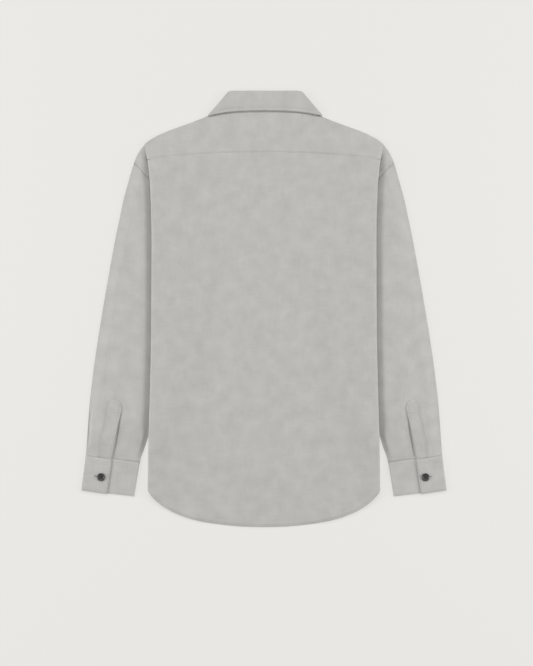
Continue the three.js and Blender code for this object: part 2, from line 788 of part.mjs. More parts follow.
function button(drilled) {
  if (!drilled) return latheSolid(PLAIN_PROFILE, PLAIN_SIDES);
  let body = solid(latheSolid(BUTTON_PROFILE, BUTTON_SIDES));
  for (const [x, y] of [[1, 1], [1, -1], [-1, 1], [-1, -1]]) {
    const drill = latheSolid(
      [
        { radius: 0, height: -DRILL_PAST },
        { radius: HOLE_RADIUS, height: -DRILL_PAST },
        { radius: HOLE_RADIUS, height: BUTTON_THICK + DRILL_PAST },
        { radius: 0, height: BUTTON_THICK + DRILL_PAST },
      ],
      DRILL_SIDES,
    );
    drill.translate(HOLE_OFFSET * x, HOLE_OFFSET * y, 0);
    body = body.subtract(solid(drill));
  }
  return geometryOf(body);
}

// Assembly

const group = new THREE.Group();
const cloth = { color: GREY_CLOTH, roughness: 0.9, metalness: 0 };
const horn = { color: BUTTON_DARK, roughness: 0.35, metalness: 0 };

function add(name, geometry, finish = cloth) {
  const mesh = new THREE.Mesh(geometry, new THREE.MeshStandardMaterial(finish));
  mesh.name = name;
  group.add(mesh);
  return mesh;
}

const yoke = solid(yokeWrap()).add(solid(shoulderEnd(-1))).add(solid(shoulderEnd(1)));
add('yoke', geometryOf(yoke));
add('back_panel', backPanel());
add('left_front', front(-1));
add('right_front', front(1));
add('front_placket', placket());
add('collar_stand', stand());
add('collar_fall', fall());

for (const [name, side] of [['left', -1], ['right', 1]]) {
  add(`${name}_sleeve`, sleeve(side));
  add(`${name}_sleeve_placket`, sleevePlacket(side));
  add(`${name}_cuff`, cuff(side));
  const place = cuffPoint(CUFF.buttonAcross, CUFF.buttonDown);
  const fastened = add(`${name}_cuff_button`, button(true), horn);
  fastened.position.set(side * place.x, place.y, CUFF_LAP_TOP + GAP);
}

for (let k = 0; k < FRONT_BUTTONS; k++) {
  const fastened = add(`front_button_${k + 1}`, button(false), horn);
  fastened.rotation.x = Math.PI;
  fastened.position.set(0, FIRST_BUTTON_Y - k * BUTTON_PITCH, BUTTON_THICK);
}
const top = add('collar_button', button(false), horn);
top.rotation.x = Math.PI;
top.position.set(0, COLLAR_BUTTON_Y, BUTTON_THICK);

export default group;
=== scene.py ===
import bisect
import math

import bmesh
import bpy
from mathutils import Matrix, Vector
from mathutils.bvhtree import BVHTree


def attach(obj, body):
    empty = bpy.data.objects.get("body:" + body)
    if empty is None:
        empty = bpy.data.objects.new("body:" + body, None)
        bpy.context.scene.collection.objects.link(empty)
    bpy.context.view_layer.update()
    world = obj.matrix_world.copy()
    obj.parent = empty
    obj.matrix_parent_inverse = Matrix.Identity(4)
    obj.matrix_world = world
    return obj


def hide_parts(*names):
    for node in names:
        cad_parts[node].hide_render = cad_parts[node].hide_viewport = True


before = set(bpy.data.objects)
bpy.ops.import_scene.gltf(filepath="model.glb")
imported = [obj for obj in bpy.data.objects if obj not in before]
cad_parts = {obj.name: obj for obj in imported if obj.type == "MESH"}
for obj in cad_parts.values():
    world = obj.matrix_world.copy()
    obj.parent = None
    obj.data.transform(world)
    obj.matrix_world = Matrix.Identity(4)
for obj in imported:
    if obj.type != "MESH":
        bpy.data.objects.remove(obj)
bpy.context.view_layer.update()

MM = 0.001

# Back panel
# One piece of cotton poplin below the yoke. Both sides are folded under as far as the side seams, so
# the fold stands rounded above the sleeves, and the shirt-tail edge has a narrow turned and stitched hem.

CLOTH = 0.9  # wall of one layer, mm
LAYER = 1.3  # from one layer to the next, mm
SLEEVE_LIFT = 2 * LAYER
FLAP_LIFT = 2 * LAYER
BUTTON_LIFT = 2.9
FOLD_PUFF = 6.0  # air inside the side folds
FOLD_FREE = 3.0  # how far the fold stands off the sleeve
HEM_WIDE = 5.5
HEM_RAISED = 0.15
HEM_DROP = 1.1  # the stitched hem curls down at its edge


def step(value, start, end):
    """0 to 1 with soft ends."""
    t = min(max((value - start) / (end - start), 0.0), 1.0)
    return t * t * (3 - 2 * t)


def lerp(a, b, t):
    return a + (b - a) * t


def through(rows):
    """A smooth run through rows of (input, output), straight past its ends where they are level."""
    xs = [row[0] for row in rows]
    ys = [row[1] for row in rows]
    rise = [(ys[k + 1] - ys[k]) / (xs[k + 1] - xs[k]) for k in range(len(rows) - 1)]
    slope = [rise[0]]
    for before, after in zip(rise, rise[1:]):
        slope.append(0.0 if before * after <= 0 else 2 * before * after / (before + after))
    slope.append(rise[-1])

    def at(value):
        if value <= xs[0]:
            return ys[0]
        if value >= xs[-1]:
            return ys[-1]
        k = bisect.bisect_right(xs, value) - 1
        wide = xs[k + 1] - xs[k]
        t = (value - xs[k]) / wide
        h00 = (1 + 2 * t) * (1 - t) ** 2
        h10 = t * (1 - t) ** 2
        h01 = t * t * (3 - 2 * t)
        h11 = t * t * (t - 1)
        return h00 * ys[k] + h10 * wide * slope[k] + h01 * ys[k + 1] + h11 * wide * slope[k + 1]

    return at


def larger(a, b, soft=0.3):
    """The larger of two heights, with the corner between them rounded."""
    return (a + b + math.sqrt((a - b) ** 2 + soft * soft) - soft) / 2


# (y, half width) of the side folds, (y, depth) turned under, and (y, x) of the outline and of the sleeve's
# hidden edge. The hem and the seams that run across are (x, y), and depth_top is (depth, y).
fold_half = through([(-332, 211.8), (-238, 210.2), (-202, 209.1), (-129, 207.0), (-20, 205.2),
                     (126, 204.6), (217, 206.8), (253, 209.7), (275, 212.6), (296, 216.1)])
turned_under = through([(157, 70), (204, 28), (271, 8), (296, 0)])
outline_x = through([(-267, 324.9), (-238, 322.7), (-202, 320.3), (-165, 317.3), (-129, 313.1),
                     (-93, 308.5), (-56, 303.0), (-20, 297.3), (35, 287.9), (89, 278.3), (126, 271.5),
                     (162, 264.0), (199, 256.1), (235, 246.3), (249.5, 242.2), (260.4, 239.0),
                     (271.4, 235.3), (282.3, 230.2), (287.7, 227.1), (293.2, 223.4), (299, 218.6),
                     (304, 213.2)])
sleeve_inner = through([(-278, 226.2), (-267, 223.4), (-256, 218.9), (-238, 212.9), (-202, 201.1),
                        (-165, 189.3), (-93, 165.6), (-20, 143.8), (53, 123.8), (104, 112.5), (150, 118.0),
                        (217, 162.4), (295, 216.1)])
hem_y = through([(0, -397.1), (33, -396.3), (62, -394.4), (89, -391.2), (111, -387.5), (125.6, -384.2),
                 (140, -380.2), (159, -372.9), (174, -365.6), (185, -358.4), (194, -351.1), (201.5, -343.8),
                 (207.5, -336.5), (211.8, -329.5)])
yoke_seam = through([(0, 285.9), (56, 285.2), (115, 282.8), (170, 277.8), (214, 271.2)])
front_top = through([(0, 300), (31, 303), (60, 313), (80, 324), (88, 330.5)])
front_seam = through([(88, 330.5), (108, 315.0), (155, 296.0), (214, 266)])
depth_top = through([(8, 271.2), (28, 204), (70, 157)])

LIFT_AHEAD = 12  # a layer is fully up this far before the edge of the one beneath it
LIFT_LONG = 34  # and it comes up over this length


def climb(across, edge, spread):
    """Share of a lift beside an edge that lies beneath. spread softens it for the layers above."""
    edge = edge - LIFT_AHEAD - spread
    return step(across, edge - LIFT_LONG, edge)


def sleeve_lift(across, y, spread=0):
    return SLEEVE_LIFT * climb(across, sleeve_inner(y), spread)


def flap_lift(across, y, spread=0):
    """Lift over the sides that are turned under."""
    depth = turned_under(y)
    return FLAP_LIFT * climb(across, fold_half(y) - depth, spread) * step(depth, 0, 8)


def leaf_lift(across, y, spread=0):
    """Lift over the collar's leaves, from below their points up to the neck."""
    return LAYER * step(y, 228, 258) * (1 - step(across, 107 + spread, 140 + 2 * spread))


def closure_lift(across, y, over=0.0, spread=0):
    """Lift over the buttons and the placket strip, from above the hem to the collar stand."""
    beside = 1 - step(across, 18 + spread, 58 + spread)
    return (BUTTON_LIFT * step(y, -375, -300) + over) * beside * (1 - step(y, 332, 365))


def fold_along(y):
    """Share of the side fold's fullness at one height: none at the hem corner and at the shoulder tip."""
    return step(y, -360, -200) * (1 - step(y, 262, 300))


def fold_free(across, y, spread=0):
    """How far the layers of the body stand off the sleeve next to the side fold."""
    fold = fold_half(y)
    return FOLD_FREE * step(across, fold - 26 - 5 * spread, fold - 5) * fold_along(y)


def under_fold(across, y):
    return sleeve_lift(across, y) + fold_free(across, y)


def front_base(across, y, over=0.0, spread=0):
    """Under side of the front. It lies over the sleeves, the turned-under layers, the buttons and the
    collar's leaves."""
    lifted = sleeve_lift(across, y, spread) + flap_lift(across, y, spread) + fold_free(across, y, spread)
    return larger(larger(lifted, leaf_lift(across, y, spread)), closure_lift(across, y, over, spread))


# Soft troughs and ridges of the back: from (x, y) to (x, y), half width and depth in mm
BACK_CREASES = [
    (-118, 205, -124, 262, 9, 0.8),
    (-96, 190, -101, -60, 16, 0.9),
    (-104, -40, -92, -330, 20, 0.8),
    (58, 150, 64, -120, 18, 0.7),
    (72, -60, 60, -330, 22, 0.7),
    (-60, 60, -66, -260, 14, -0.5),
    (28, 120, 24, -210, 16, -0.4),
    (120, 250, 126, 130, 12, 0.5),
    (-160, 120, -166, -150, 15, 0.4),
    (158, 60, 163, -220, 17, 0.5),
    (-20, -180, -14, -370, 15, 0.5),
    (4, 240, -4, 40, 20, 0.3),
]


def creased(creases, x, y):
    """Depth of a set of soft creases at one place."""
    depth = 0.0
    for x0, y0, x1, y1, wide, deep in creases:
        dx, dy = x1 - x0, y1 - y0
        long = dx * dx + dy * dy
        t = ((x - x0) * dx + (y - y0) * dy) / long
        if -0.25 < t < 1.25:
            side = ((x - x0) * dy - (y - y0) * dx) / math.sqrt(long) / wide
            if abs(side) < 3:
                depth += deep * math.exp(-side * side) * step(t, -0.2, 0.25) * (1 - step(t, 0.75, 1.2))
    return depth


def back_base(x, y):
    """Under side of the back, the yoke and the back of the collar stand."""
    across = abs(x)
    fold = fold_half(y)
    puff = FOLD_PUFF * step(across, fold - 125, fold - 6) * fold_along(y)
    return front_base(across, y, LAYER, 12) + LAYER + puff - creased(BACK_CREASES, x, y)


def turned(edge, inward, angle, low, high, wall=CLOTH, reach=99.0):
    """Middle of a turned edge's wall, at an angle from -90 beneath to 90 on top. edge and inward are in plan,
    and reach is how far in from the edge the turn may begin."""
    radius = (high - low) / 2
    middle = radius - wall / 2
    back = (radius - middle * math.cos(math.radians(angle))) * min(1.0, reach / radius)
    return (edge[0] + inward[0] * back, edge[1] + inward[1] * back,
            (low + high) / 2 + middle * math.sin(math.radians(angle)))


def add_grid(bm, columns, rows, place):
    """A grid in bm whose vertices are moved to place(column, row), given in mm."""
    grid = bmesh.ops.create_grid(bm, x_segments=len(columns) - 1, y_segments=len(rows) - 1, size=1)
    for vert in grid["verts"]:
        column = columns[round((vert.co.x + 1) / 2 * (len(columns) - 1))]
        row = rows[round((vert.co.y + 1) / 2 * (len(rows) - 1))]
        vert.co = Vector(place(column, row)) * MM
    return grid["verts"]


def finish_piece(bm, name, material, grain=0.0):
    """Turns bm into the piece's object, with a UV map laid along the cloth's grain, in metres."""
    bmesh.ops.remove_doubles(bm, verts=bm.verts, dist=1e-6)
    bmesh.ops.recalc_face_normals(bm, faces=bm.faces)
    uv = bm.loops.layers.uv.new("grain")
    cos, sin = math.cos(grain), math.sin(grain)
    for face in bm.faces:
        face.smooth = True
        for loop in face.loops:
            x, y = loop.vert.co.x, loop.vert.co.y
            loop[uv].uv = (x * cos - y * sin, x * sin + y * cos)
    mesh = bpy.data.meshes.new(name)
    bm.to_mesh(mesh)
    bm.free()
    piece = bpy.data.objects.new(name, mesh)
    bpy.context.collection.objects.link(piece)
    piece.data.materials.append(material)
    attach(piece, "root")
    return piece


def solid_wall(piece, wall=CLOTH):
    shell = piece.modifiers.new("wall", "SOLIDIFY")
    shell.thickness = wall * MM
    shell.offset = 0
    return piece


def linear(colour):
    """An sRGB hex colour as linear RGBA."""
    parts = [int(colour[k:k + 2], 16) / 255 for k in (1, 3, 5)]
    return tuple(c / 12.92 if c <= 0.04045 else ((c + 0.055) / 1.055) ** 2.4 for c in parts) + (1.0,)


def node(tree, kind, settings=None, links=None, values=None):
    """Adds a node: settings are its properties, values its sockets' numbers, links its sockets' sources."""
    made = tree.nodes.new(kind)
    for key, value in (settings or {}).items():
        setattr(made, key, value)
    for key, value in (values or {}).items():
        made.inputs[key].default_value = value
    for key, source in (links or {}).items():
        tree.links.new(source, made.inputs[key])
    return made


def poplin(name, colour, shade):
    """Pressed cotton poplin, piece dyed. Its threads are 0.2 mm apart, too fine for the render, so the slubs
    that show as faint streaks are drawn 2 mm wide and 30 mm long, along and across, with a soft mottle of
    25 mm where the dye took unevenly."""
    material = bpy.data.materials.new(name)
    material.use_nodes = True
    tree = material.node_tree
    tree.nodes.clear()
    place = node(tree, "ShaderNodeTexCoord").outputs["UV"]
    along = node(tree, "ShaderNodeMapping", links={"Vector": place}, values={"Scale": (420, 30, 1)})
    across = node(tree, "ShaderNodeMapping", links={"Vector": place}, values={"Scale": (32, 420, 1)})
    warp = node(tree, "ShaderNodeTexNoise", links={"Vector": along.outputs[0]},
                values={"Scale": 1.0, "Detail": 2.0, "Roughness": 0.6})
    weft = node(tree, "ShaderNodeTexNoise", links={"Vector": across.outputs[0]},
                values={"Scale": 1.0, "Detail": 2.0, "Roughness": 0.6})
    mottle = node(tree, "ShaderNodeTexNoise", links={"Vector": place},
                  values={"Scale": 40.0, "Detail": 3.0, "Roughness": 0.5})
    threads = node(tree, "ShaderNodeMath", {"operation": "ADD"},
                   {0: warp.outputs[0], 1: weft.outputs[0]})
    streaks = node(tree, "ShaderNodeMath", {"operation": "MULTIPLY"}, {0: threads.outputs[0]}, {1: 0.4})
    cloud = node(tree, "ShaderNodeMath", {"operation": "MULTIPLY_ADD"}, {0: mottle.outputs[0],
                 2: streaks.outputs[0]}, {1: 1.1})
    even = node(tree, "ShaderNodeMath", {"operation": "SUBTRACT"}, {0: cloud.outputs[0]}, {1: 0.45})
    tint = node(tree, "ShaderNodeMix", {"data_type": "RGBA"}, {"Factor": even.outputs[0]},
                {"A": linear(shade), "B": linear(colour)})
    weave = node(tree, "ShaderNodeBump", links={"Height": threads.outputs[0]},
                 values={"Strength": 0.2, "Distance": 0.0001})
    shader = node(tree, "ShaderNodeBsdfPrincipled", links={"Base Color": tint.outputs["Result"],
                  "Normal": weave.outputs[0]},
                  values={"Roughness": 0.92, "Specular IOR Level": 0.25, "Sheen Weight": 0.08,
                          "Sheen Roughness": 0.6})
    node(tree, "ShaderNodeOutputMaterial", links={"Surface": shader.outputs[0]})
    return material


poplin_grey = poplin("poplin_piece_dyed", "#c6c5c1", "#b0afab")

# Lockstitches are drawn full size: each is a small bar of thread sunk a little into the cloth
STITCH_PITCH = 2.9
STITCH_LONG = 2.3
THREAD = 0.42  # thickness
STITCH_SUNK = 0.15  # beneath, where the cloth rests on the table
STITCH_STEP = 1.2  # a stitch that would run over a higher step than this is left out


def sewing_thread():
    """Core-spun polyester thread 0.4 mm thick, a shade darker than the cloth. Its twist drifts in tone
    every 1 mm."""
    material = bpy.data.materials.new("polyester_sewing_thread_grey")
    material.use_nodes = True
    tree = material.node_tree
    place = node(tree, "ShaderNodeTexCoord").outputs["Object"]
    twist = node(tree, "ShaderNodeTexNoise", links={"Vector": place}, values={"Scale": 1000.0, "Detail": 1.0})
    tint = node(tree, "ShaderNodeMix", {"data_type": "RGBA"}, {"Factor": twist.outputs[0]},
                {"A": linear("#7d7b76"), "B": linear("#a19f9a")})
    shader = tree.nodes["Principled BSDF"]
    shader.inputs["Roughness"].default_value = 0.6
    tree.links.new(tint.outputs["Result"], shader.inputs["Base Color"])
    return material


thread_grey = sewing_thread()


def surface_of(piece):
    bpy.context.view_layer.update()
    return BVHTree.FromObject(piece, bpy.context.evaluated_depsgraph_get())


def add_bar(bm, a, b, thick):
    """One bar of thread from a to b, both in metres."""
    turn = (b - a).to_track_quat("X", "Z").to_matrix().to_4x4()
    size = Matrix.Diagonal(((b - a).length / 2, thick * MM / 2, thick * MM / 2, 1))
    middle = Matrix.Translation((a + b) / 2)
    bmesh.ops.create_icosphere(bm, subdivisions=1, radius=1, matrix=middle @ turn @ size)


def sew(bm, surface, path, from_below=False, pitch=STITCH_PITCH, long=STITCH_LONG):
    """A run of stitches on a piece's surface along a path of plan points in mm."""
    ends = [0.0]
    for before, after in zip(path, path[1:]):
        ends.append(ends[-1] + math.hypot(after[0] - before[0], after[1] - before[1]))

    def spot(distance):
        k = min(max(bisect.bisect_right(ends, distance) - 1, 0), len(path) - 2)
        t = (distance - ends[k]) / (ends[k + 1] - ends[k])
        x, y = lerp(path[k][0], path[k + 1][0], t), lerp(path[k][1], path[k + 1][1], t)
        height = -1.0 if from_below else 1.0
        return surface.ray_cast(Vector((x * MM, y * MM, height)), Vector((0, 0, -height)))[0]

    sunk = Vector((0, 0, STITCH_SUNK * MM if from_below else 0))
    for k in range(int((ends[-1] - long) / pitch) + 1):
        a, b = spot(k * pitch), spot(k * pitch + long)
        if a and b and abs(a.z - b.z) < STITCH_STEP * MM:
            add_bar(bm, a + sunk, b + sunk, THREAD)


def sewn(bm, name):
    """Joins the stitches in bm into one piece that goes with the cloth."""
    mesh = bpy.data.meshes.new(name)
    bm.to_mesh(mesh)
    bm.free()
    mesh.materials.append(thread_grey)
    piece = bpy.data.objects.new(name, mesh)
    bpy.context.collection.objects.link(piece)
    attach(piece, "root")
    return piece


def hem_row(side, inside, shorter=0.0):
    """Plan points of a row of stitches along the hem of one half, from its corner to the middle."""
    row = []
    for k in range(0, 69):
        x = 204.0 - 3.0 * k
        slope = hem_slope(max(x, 0.5))
        long = math.hypot(1, slope)
        row.append((side * (x - inside * slope / long), hem_y(x) + shorter + inside / long))
    return row


HEM_CORNER = -329.5
TURN_REACH = 3.0  # how far the side fold's rounding reaches in from its edge at the hem
TURNS = list(range(-90, 91, 15))
KEPT_OUT = 150  # columns out to here keep their place, and past it they close up towards the side fold
CLOSE_UP = 54  # over this length
FLAP_DEEP = 70  # depth of the turned-under side at the hem, where its own edge rises by FLAP_RISE
FLAP_RISE = 22
DEPTHS = [FLAP_DEEP, 68, 60, 50, 40, 30, 20, 12]


def body_levels(top, hem, steep=1.0):
    """Heights of the rows from the seam down to the hem, close together at both."""
    near_top = [0, 0.8, 1.6, 3, 6, 11, 18, 27]
    near_hem = [27, 19, 12, 8, HEM_WIDE + 0.8, HEM_WIDE, 3, 0.8, 0]
    middle_top, middle_hem = top - near_top[-1], hem + near_hem[0] * steep
    middle = [lerp(middle_top, middle_hem, k / 72) for k in range(1, 72)]
    return [top - d for d in near_top] + middle + [hem + d * steep for d in near_hem]


ROWS = list(range(len(body_levels(280, -390))))


def hem_slope(x):
    return (hem_y(x + 1) - hem_y(x - 1)) / 2


def body_grid(bm, side, flats, base, low, top, hem, inset, tuck, drop):
    """Half of a panel that is turned under at one side. flats are places from the middle, in mm."""
    corner = fold_half(HEM_CORNER) - inset

    def turn_radius(y):
        x = fold_half(y) - inset
        return (base(side * x, y) + CLOTH - low(x, y)) / 2

    columns = [("flat", x) for x in flats] + [("turn", a) for a in reversed(TURNS)]
    columns += [("under", d) for d in reversed(DEPTHS)]

    def place(column, row):
        kind, amount = column
        if kind == "flat":
            share = max(0.0, (amount - KEPT_OUT) / CLOSE_UP)
            x_hem = lerp(min(amount, KEPT_OUT), corner - TURN_REACH, share)
            steep = min(math.hypot(1, hem_slope(abs(x_hem))), 2.0)
            y = body_levels(top(abs(x_hem)), hem(abs(x_hem)), steep)[row]
            x = lerp(min(amount, KEPT_OUT), fold_half(y) - inset - turn_radius(y), share)
            z = base(side * x, y) + CLOTH / 2
            from_edge = (y - hem(abs(x_hem))) / steep
            z += HEM_RAISED * (1 - step(from_edge, HEM_WIDE, HEM_WIDE + 0.8))
            z -= HEM_DROP * (1 - step(from_edge, 0, HEM_WIDE)) * drop
            if row < 2:
                z -= tuck * (2 - row) / 2
            return side * x, y, z
        if kind == "turn":
            x_hem = corner - TURN_REACH * (1 - math.cos(math.radians(amount)))
            y = body_levels(depth_top(8), hem(x_hem), 1.0)[row]
            x = fold_half(y) - inset
            high = base(side * (x - turn_radius(y)), y) + CLOTH
            px, py, z = turned((x, y), (-1, 0), amount, low(x, y), high)
            return side * px, py, z
        y = body_levels(depth_top(max(amount, 8)), hem(corner) + FLAP_RISE * amount / FLAP_DEEP, 1.0)[row]
        x = fold_half(y) - max(amount, inset + 2)
        return side * x, y, low(x, y) + CLOTH / 2

    return add_grid(bm, columns, ROWS, place)


flats_half = [k * 4.0 for k in range(0, 38)] + [KEPT_OUT + k * 3.6 for k in range(1, 15)]

bm = bmesh.new()
for side in (-1, 1):
    body_grid(bm, side, flats_half, back_base, under_fold, lambda x: yoke_seam(x) + 1.2, hem_y,
              inset=0, tuck=0.9, drop=1)
back = solid_wall(finish_piece(bm, "back_panel_poplin", poplin_grey))
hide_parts("back_panel")

# The hem's row, and two rows down each felled side seam, which are on the side that lies down
HEM_STITCH = 5.0  # from the edge
bm = bmesh.new()
surface = surface_of(back)
for side in (-1, 1):
    sew(bm, surface, hem_row(side, HEM_STITCH))
    for inside in (1.8, 6.8):
        seam = [(side * (fold_half(y) - turned_under(y) + inside), y) for y in range(196, -330, -4)]
        sew(bm, surface, seam, from_below=True)
sewn(bm, "back_panel_stitches")

# Fronts and front placket
# The two fronts, of the same poplin, lie under the back, folded back inside the side folds. The left front
# ends in the buttoned placket strip, and the right front passes over it. Both have the same turned hem.

FRONT_SHORTER = 6.0  # the front's hem lies this far above the back's
FRONT_INSET = 5.0  # and its fold this far inside the back's


def front_edge(x):
    return front_top(x) if x < 88 else front_seam(x)


for side, name in ((-1, "left_front"), (1, "right_front")):
    bm = bmesh.new()
    over = LAYER if side > 0 else 0.0
    inner = [-16, -8, 0, 8] if side > 0 else []
    flats = inner + [16.3 + k * 5.4 for k in range(25)] + [KEPT_OUT + k * 5.4 for k in range(1, 10)]
    body_grid(bm, side, flats, lambda x, y, lap=over: front_base(abs(x), y, lap),
              lambda x, y: under_fold(x, y) + LAYER, lambda x: front_edge(abs(x)) - 0.3,
              lambda x: hem_y(abs(x)) + FRONT_SHORTER, inset=FRONT_INSET, tuck=0.0, drop=0)
    piece = solid_wall(finish_piece(bm, name + "_poplin", poplin_grey))
    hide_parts(name)
    wide = 0.226 + 0.065 if side > 0 else 0.194 + 0.065

bm = bmesh.new()
placket_columns = [-16, -15.2, -12, -8, -4, 0, 4, 8, 12, 15.2, 16]
add_grid(bm, placket_columns, ROWS, lambda x, row: (
    x, body_levels(front_top(abs(x)) - 0.3, hem_y(abs(x)) + FRONT_SHORTER)[row],
    closure_lift(0, body_levels(300, -391)[row]) + CLOTH / 2))
placket = solid_wall(finish_piece(bm, "front_placket_poplin", poplin_grey))
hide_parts("front_placket")

# The hem's row on the fronts, and the placket strip's two rows and its six upright buttonholes. Each
# hole is a slit between two rows of close satin stitches with a bar at each end. A dark bar in the slit is
# painted shade.

HOLE_LONG = 16.0
HOLE_HALF = 1.5  # half its width over the satin stitches
HOLE_BARE = 0.45  # half the gap between them
HOLE_PITCH = 0.62
HOLE_PAST = 3  # the hole's middle from the button's
# width of the dark bar that is painted shade inside a buttonhole's slit
SLIT_SHADE_WIDE = 0.7


def make_black_thread_and_slit_shade():
    """Black polyester thread that sews on the buttons. The same dark colour, in a bar along each buttonhole's
    slit, is painted shade inside the opening. Its fuzz is drawn 0.7 mm wide."""
    material = bpy.data.materials.new("polyester_thread_black_and_painted_slit_shade")
    material.use_nodes = True
    tree = material.node_tree
    place = node(tree, "ShaderNodeTexCoord").outputs["Object"]
    fuzz = node(tree, "ShaderNodeTexNoise", links={"Vector": place}, values={"Scale": 1400.0})
    tint = node(tree, "ShaderNodeMix", {"data_type": "RGBA"}, {"Factor": fuzz.outputs[0]},
                {"A": linear("#1d1c1b"), "B": linear("#45433f")})
    shader = tree.nodes["Principled BSDF"]
    shader.inputs["Roughness"].default_value = 0.8
    tree.links.new(tint.outputs["Result"], shader.inputs["Base Color"])
    return material


black_thread_and_painted_slit_shade = make_black_thread_and_slit_shade()


def buttonhole(bm, slit_shades, surface, x, y, angle, from_below=False, long=HOLE_LONG):
    """A buttonhole whose middle is at (x, y) and whose length runs at an angle from the x axis."""
    run = Vector((math.cos(angle), math.sin(angle)))
    over = Vector((-run.y, run.x))
    middle = Vector((x, y))
    count = int(long / HOLE_PITCH)
    for k in range(count + 1):
        at = middle + run * (k * HOLE_PITCH - long / 2)
        near = HOLE_BARE if 1 < k < count - 1 else -HOLE_HALF
        for sign in (-1, 1):
            path = [at + over * sign * near, at + over * sign * HOLE_HALF]
            sew(bm, surface, path, from_below, pitch=9, long=HOLE_HALF - near - 0.01)
    # The slit's opening is a dark bar lying in it: painted shade, in the black thread's colour
    height = -1.0 if from_below else 1.0
    ends = []
    for sign in (-1, 1):
        at = middle + run * sign * (long / 2 - 1)
        ends.append(surface.ray_cast(Vector((at.x * MM, at.y * MM, height)), Vector((0, 0, -height)))[0])
    sunk = Vector((0, 0, SLIT_SHADE_WIDE * MM / 3 if from_below else 0))
    add_bar(slit_shades, ends[0] + sunk, ends[1] + sunk, SLIT_SHADE_WIDE)


def dark_piece(bm, name):
    """Joins what is in bm into one black piece: the buttons' thread, or the painted shade in the buttonhole
    slits.
    """
    piece = sewn(bm, name)
    piece.data.materials.clear()
    piece.data.materials.append(black_thread_and_painted_slit_shade)
    return piece


FRONT_BUTTONS = [235 - 88 * k for k in range(6)]
bm, slit_shades = bmesh.new(), bmesh.new()
for side, name in ((-1, "left_front"), (1, "right_front")):
    surface = surface_of(bpy.data.objects[name + "_poplin"])
    sew(bm, surface, hem_row(side, HEM_STITCH, FRONT_SHORTER), from_below=True)
surface = surface_of(placket)
for x in (-11, 11):
    sew(bm, surface, [(x, y) for y in range(298, -389, -6)], from_below=True)
for y in FRONT_BUTTONS:
    buttonhole(bm, slit_shades, surface, 0, y - HOLE_PAST, math.pi / 2, from_below=True)
sewn(bm, "front_stitches")
# the dark bars in these slits are painted shade
dark_piece(slit_shades, "front_buttonhole_painted_slit_shade")

# Yoke
# One piece across the shoulders, turned over them to a seam on the front. Its lower edge is turned in
# and stitched down over the back, and each dropped shoulder end runs out to the armhole seam.

shoulder_y = through([(96, 354.0), (105.4, 350.9), (112.7, 347.8), (121.8, 344.2), (141.3, 336.9),
                      (171.2, 326.0), (184.5, 320.5), (195.8, 315.0), (205.7, 309.6), (213.2, 304.1),
                      (218.6, 299.0)])
# (place along half, neck x, neck y, outer x, outer y), from the shoulder line to the middle of the back.
# An outer y of 0 lies on the back seam.
YOKE_RAYS = [(0.06, 92, 357.4, 216.2, 292), (0.12, 89, 358.8, 213.9, 280), (0.18, 84, 360.9, 211.6, 271.6),
             (0.26, 77, 362.3, 192, 0), (0.36, 70, 363.6, 170, 0), (0.5, 52, 365.8, 115, 0),
             (0.62, 38, 366.6, 82, 0), (0.75, 27, 367.2, 52, 0), (0.88, 13, 367.6, 26, 0),
             (1.0, 0, 367.8, 0, 0)]
YOKE_STEPS = [0] + [0.018 + 0.008 * k for k in range(17)] + [0.15 + 0.7 * k / 22 for k in range(1, 23)]
YOKE_STEPS += [0.88, 0.91, 0.94, 0.96, 0.975, 0.985, 0.995, 1.0]
SEAM_RIDGE = 0.5
SHOULDER_INWARD = (-0.34, -0.94)  # direction in plan from the shoulder line
TIP_FROM, TIP_TO = 286, 299  # the side fold runs out between these at the shoulder's tip
COLLAR_EDGE = through([(0, 361.9), (25, 361.6), (50, 360.7), (74, 358.2), (98, 353.4)])
COLLAR_PRESS = 1.3  # the collar's edge is pressed into the yoke


def ray(place):
    """Neck and outer end of one ray of the yoke, straight between the rows above."""
    for before, after in zip(YOKE_RAYS, YOKE_RAYS[1:]):
        if place <= after[0]:
            t = max(0.0, (place - before[0]) / (after[0] - before[0]))
            nx, ny, ox = (lerp(before[k], after[k], t) for k in (1, 2, 3))
            oy = lerp(before[4], after[4], t) if after[4] else yoke_seam(ox)
            return nx, ny, ox, oy


def yoke_front_low(x, y):
    return larger(leaf_lift(x, y), sleeve_lift(x, y))


def fold_drop(x, y):
    """How far the yoke comes down as it turns under at the top of the side fold."""
    radius = (back_base(x, y) + CLOTH - under_fold(x, y)) / 2 * (1 - step(y, TIP_FROM, TIP_TO))
    past = min(max((x - fold_half(y)) / max(radius, 0.01) + 1, 0.0), 1.0)
    return radius * (1 - math.sqrt(1 - past * past))


def yoke_place(side):
    def place(column, share):
        kind, amount = column
        if kind == "strip":
            x = lerp(88, 208, share)
            y = lerp(front_seam(x) + 0.3, shoulder_y(max(x, 99)) - 1.5, amount)
            return side * x, y, yoke_front_low(x, y) + CLOTH / 2
        if kind == "turn":
            x = lerp(98, 218.2, share)
            y = shoulder_y(x)
            px, py, z = turned((x, y), SHOULDER_INWARD, amount, yoke_front_low(x, y), back_base(x, y) + CLOTH)
            return side * px, py, z
        nx, ny, ox, oy = ray(amount)
        x, y = lerp(nx, ox, share), lerp(ny, oy, share)
        z = back_base(side * x, y) + CLOTH / 2 - fold_drop(x, y)
        z -= COLLAR_PRESS * math.exp(-((y - COLLAR_EDGE(x) + 1.0) / 1.5) ** 2)
        if amount >= 0.18:
            z += SEAM_RIDGE * step(share, 0.86, 0.95) * (1 - 0.75 * step(share, 0.985, 1.0))
        return side * x, y, z
    return place


yoke_columns = [("strip", 0), ("strip", 0.5), ("strip", 1)] + [("turn", a) for a in TURNS]
yoke_columns += [("ray", 0.06 + 0.12 * k / 9) for k in range(10)]
yoke_columns += [("ray", 0.18 + 0.82 * k / 48) for k in range(1, 49)]
bm = bmesh.new()
for side in (-1, 1):
    add_grid(bm, yoke_columns, YOKE_STEPS, yoke_place(side))

